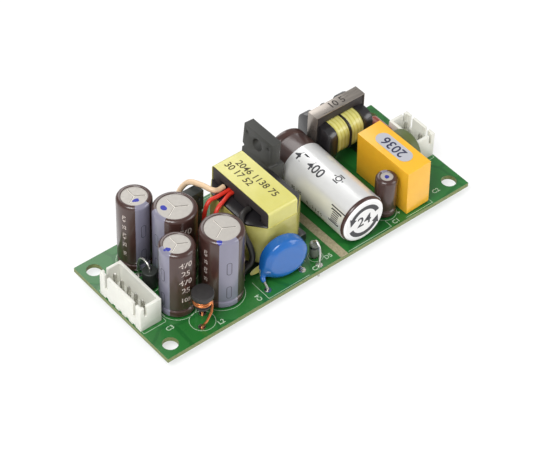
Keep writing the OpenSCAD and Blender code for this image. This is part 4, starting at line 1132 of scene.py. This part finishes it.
class PSU_OT_small_parts(bpy.types.Operator):
    """Finish the drum choke, bead and diode, and wind the copper coil"""
    bl_idname = "psu.small_parts"
    bl_label = "Small parts"

    def execute(self, context):
        scene = context.scene
        look = scene.psu_filter
        ferrite = Paint("drum_ferrite", tone(44, 42, 42), 0.5).mottled(0.8 * MM, 0.2)
        ferrite.bump(ferrite.noise(0.3 * MM), 0.02 * MM, 0.5)
        dressed("drum_choke_core", ferrite, 0.12 * MM, 2)
        bead = plastic("bead_ferrite", tone(46, 50, 46), 0.45)
        dressed("bead", bead, 0.0, 2, 60)
        copper = Paint("enamelled_copper", look.copper, 0.25, 0.9, Coat_Weight=0.4, Coat_Roughness=0.1)
        copper.paint(copper.mix(copper.noise(0.7 * MM), shade(look.copper, 0.7), look.copper))
        keep("drum_coil", wire_mesh(self.drum_route(), 0.3 * MM, copper, 12, False), copper, "copper",
             "drum_choke_winding")
        lead = once("tinned", tinned)
        bead_route = [(-34.3, 6.7, TAIL), (-34.3, 6.7, 1.3), (-34.3, 6.75, 4.3), (-34.3, 6.2, 6.6), (-34.3, 5.0, 7.8),
                      (-34.3, 3.5, 7.6), (-34.3, 2.6, 6.8), (-34.3, 2.5, 5.8), (-34.3, 2.5, TAIL)]
        keep("bead_wire_round", wire_mesh(bead_route, 0.3 * MM, lead, 12), lead, "tinned_metal", "bead_wire")
        diode_route = [(0.3, -13.2, TAIL), (0.3, -13.2, 5.4), (0.3, -13.2, 5.9), (0.2, -13.9, 6.7), (0.0, -15.2, 5.9),
                       (-0.3, -15.9, 4.2), (-0.5, -16.0, 2.6), (-0.5, -16.0, TAIL)]
        keep("diode_lead_round", wire_mesh(diode_route, 0.3 * MM, lead, 12), lead, "tinned_metal", "diode_leads")
        glass = Paint("diode_body_paint", tone(98, 102, 92), 0.25, Coat_Weight=0.4, Coat_Roughness=0.1)
        z = glass.axes()[2]
        glass.paint(glass.mix(glass.between(z, 4.3 * MM, 5.0 * MM), tone(98, 102, 92), tone(30, 30, 30)))
        dressed("diode_body", glass, 0.0, 2, 60)
        return {"FINISHED"}

    def drum_route(self):
        """Up from one hole, three turns down round the post, and off to the other hole."""
        x, y, turn, rise = -31.7, -13.1, 841, 0.64
        coil = []
        for i in range(73):
            a = math.radians(80 - turn * i / 72)
            coil.append((x + 2.0 * math.cos(a), y + 2.0 * math.sin(a), 8.85 - rise * turn / 360 * i / 72))
        return ([(-30.3, -11.3, TAIL), (-30.3, -11.3, 7.3), (-30.36, -11.18, 7.9), (-30.5, -10.97, 8.4),
                 (-30.9, -10.95, 8.7)] + coil
                + [(-30.4, -14.8, 6.6), (-30.9, -15.3, 5.6), (-32.3, -15.4, 3.4), (-32.8, -15.1, 2.5),
                   (-32.9, -14.8, 1.95), (-32.9, -14.45, 1.6), (-32.9, -14.4, 1.3), (-32.9, -14.4, TAIL)])


# ---------------------------------------------------------------- stage

CAMERA = {"azimuth": -40.988, "elevation": 45.195, "roll": 2.0912, "distance": 491.147 * MM,
          "aside": (-1.2675 * MM, 0.7004 * MM), "sensor": 36.0, "lens": 142.272}
# name, place and width in metres, share of the key light's power
LAMPS = (("key", (-0.28, -0.10, 0.42), 0.26, 1.0), ("fill", (0.30, -0.34, 0.22), 0.30, 0.45),
         ("back", (0.12, 0.40, 0.30), 0.30, 0.4))
FLOOR_HALF = 1.5
FLOOR_GLOW = 0.62  # how much of the floor that the camera sees is plain, without shade


class PSU_OT_stage(bpy.types.Operator):
    """Set the pale floor, the soft lamps and the camera"""
    bl_idname = "psu.stage"
    bl_label = "Stage"

    def execute(self, context):
        scene = context.scene
        look = scene.psu_stage
        self.floor(look)
        self.lamps(scene, look)
        self.camera(scene)
        scene.view_settings.view_transform = "Standard"
        return {"FINISHED"}

    def floor(self, look):
        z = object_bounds()[0].z - 0.05 * MM
        corners = [(a * FLOOR_HALF, b * FLOOR_HALF, z) for a, b in ((-1, -1), (1, -1), (1, 1), (-1, 1))]
        mesh = polygon_mesh("floor", corners, [(0, 1, 2, 3)])
        paint = Paint("floor_paint", look.floor, 0.9)
        tree = paint.tree
        rays = paint.add("LightPath").outputs
        seen = paint.math("MAXIMUM", rays["Is Camera Ray"],
                          paint.math("MAXIMUM", rays["Is Glossy Ray"], rays["Is Transmission Ray"]))
        white = paint.add("Emission", {"Color": (*look.floor, 1.0), "Strength": 1.0}).outputs[0]
        part = paint.math("MULTIPLY", seen, FLOOR_GLOW)
        both = paint.add("MixShader", {0: part, 1: paint.shader.outputs[0], 2: white}).outputs[0]
        tree.links.new(both, tree.nodes["Material Output"].inputs["Surface"])
        mesh.materials.append(paint.material)
        floor = bpy.data.objects.new("floor", mesh)
        bpy.context.scene.collection.objects.link(floor)
        floor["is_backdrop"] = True

    def lamps(self, scene, look):
        world = scene.world or bpy.data.worlds.new("sky")
        scene.world = world
        world.use_nodes = True
        tree = world.node_tree
        tree.nodes.clear()
        rays = tree.nodes.new("ShaderNodeLightPath").outputs
        sky = tree.nodes.new("ShaderNodeBackground")
        sky.inputs["Strength"].default_value = look.sky
        seen = tree.nodes.new("ShaderNodeBackground")
        mixed = tree.nodes.new("ShaderNodeMixShader")
        out = tree.nodes.new("ShaderNodeOutputWorld")
        tree.links.new(rays["Is Camera Ray"], mixed.inputs[0])
        tree.links.new(sky.outputs[0], mixed.inputs[1])
        tree.links.new(seen.outputs[0], mixed.inputs[2])
        tree.links.new(mixed.outputs[0], out.inputs["Surface"])
        for name, place, size, share in LAMPS:
            lamp = bpy.data.lights.new(name, "AREA")
            lamp.size = size
            lamp.energy = look.key * share
            holder = bpy.data.objects.new(name, lamp)
            holder.location = place
            holder.rotation_mode = "QUATERNION"
            holder.rotation_quaternion = (-Vector(place)).to_track_quat("-Z", "Y")
            scene.collection.objects.link(holder)

    def camera(self, scene):
        a, e, roll = (math.radians(CAMERA[k]) for k in ("azimuth", "elevation", "roll"))
        back = Vector((math.sin(a) * math.cos(e), -math.cos(a) * math.cos(e), math.sin(e)))
        right = Vector((math.cos(a), math.sin(a), 0))
        up = back.cross(right)
        across = right * math.cos(roll) + up * math.sin(roll)
        high = up * math.cos(roll) - right * math.sin(roll)
        place = back * CAMERA["distance"] + across * CAMERA["aside"][0] + high * CAMERA["aside"][1]
        lens = bpy.data.cameras.new("camera")
        lens.sensor_fit = "HORIZONTAL"
        lens.sensor_width = CAMERA["sensor"]
        lens.lens = CAMERA["lens"]
        lens.clip_start, lens.clip_end = 0.01, 10
        camera = bpy.data.objects.new("camera", lens)
        camera.matrix_world = Matrix((
            (across.x, high.x, back.x, place.x), (across.y, high.y, back.y, place.y),
            (across.z, high.z, back.z, place.z), (0, 0, 0, 1)))
        scene.collection.objects.link(camera)
        scene.camera = camera


# ---------------------------------------------------------------- panel and registration

OPERATORS = (PSU_OT_board, PSU_OT_headers, PSU_OT_capacitors, PSU_OT_storage, PSU_OT_transformer,
             PSU_OT_flying_leads, PSU_OT_choke, PSU_OT_filter_parts, PSU_OT_packages, PSU_OT_small_parts,
             PSU_OT_stage)


class PSU_PT_panel(bpy.types.Panel):
    """The steps that dress the power supply"""
    bl_label = "Power Supply"
    bl_idname = "PSU_PT_panel"
    bl_space_type = "VIEW_3D"
    bl_region_type = "UI"
    bl_category = "Power Supply"

    def draw(self, context):
        for step in OPERATORS:
            self.layout.operator(step.bl_idname)
        for name, group in LOOKS.items():
            look = getattr(context.scene, name)
            box = self.layout.box()
            for key in group.__annotations__:
                box.prop(look, key)


def register():
    for cls in (*LOOKS.values(), *OPERATORS, PSU_PT_panel):
        bpy.utils.register_class(cls)
    for name, group in LOOKS.items():
        setattr(bpy.types.Scene, name, PointerProperty(type=group))


def unregister():
    for name in LOOKS:
        delattr(bpy.types.Scene, name)
    for cls in reversed((*LOOKS.values(), *OPERATORS, PSU_PT_panel)):
        bpy.utils.unregister_class(cls)


def main():
    register()
    for step in OPERATORS:
        group, name = step.bl_idname.split(".")
        getattr(getattr(bpy.ops, group), name)()


if __name__ == "__main__":
    main()
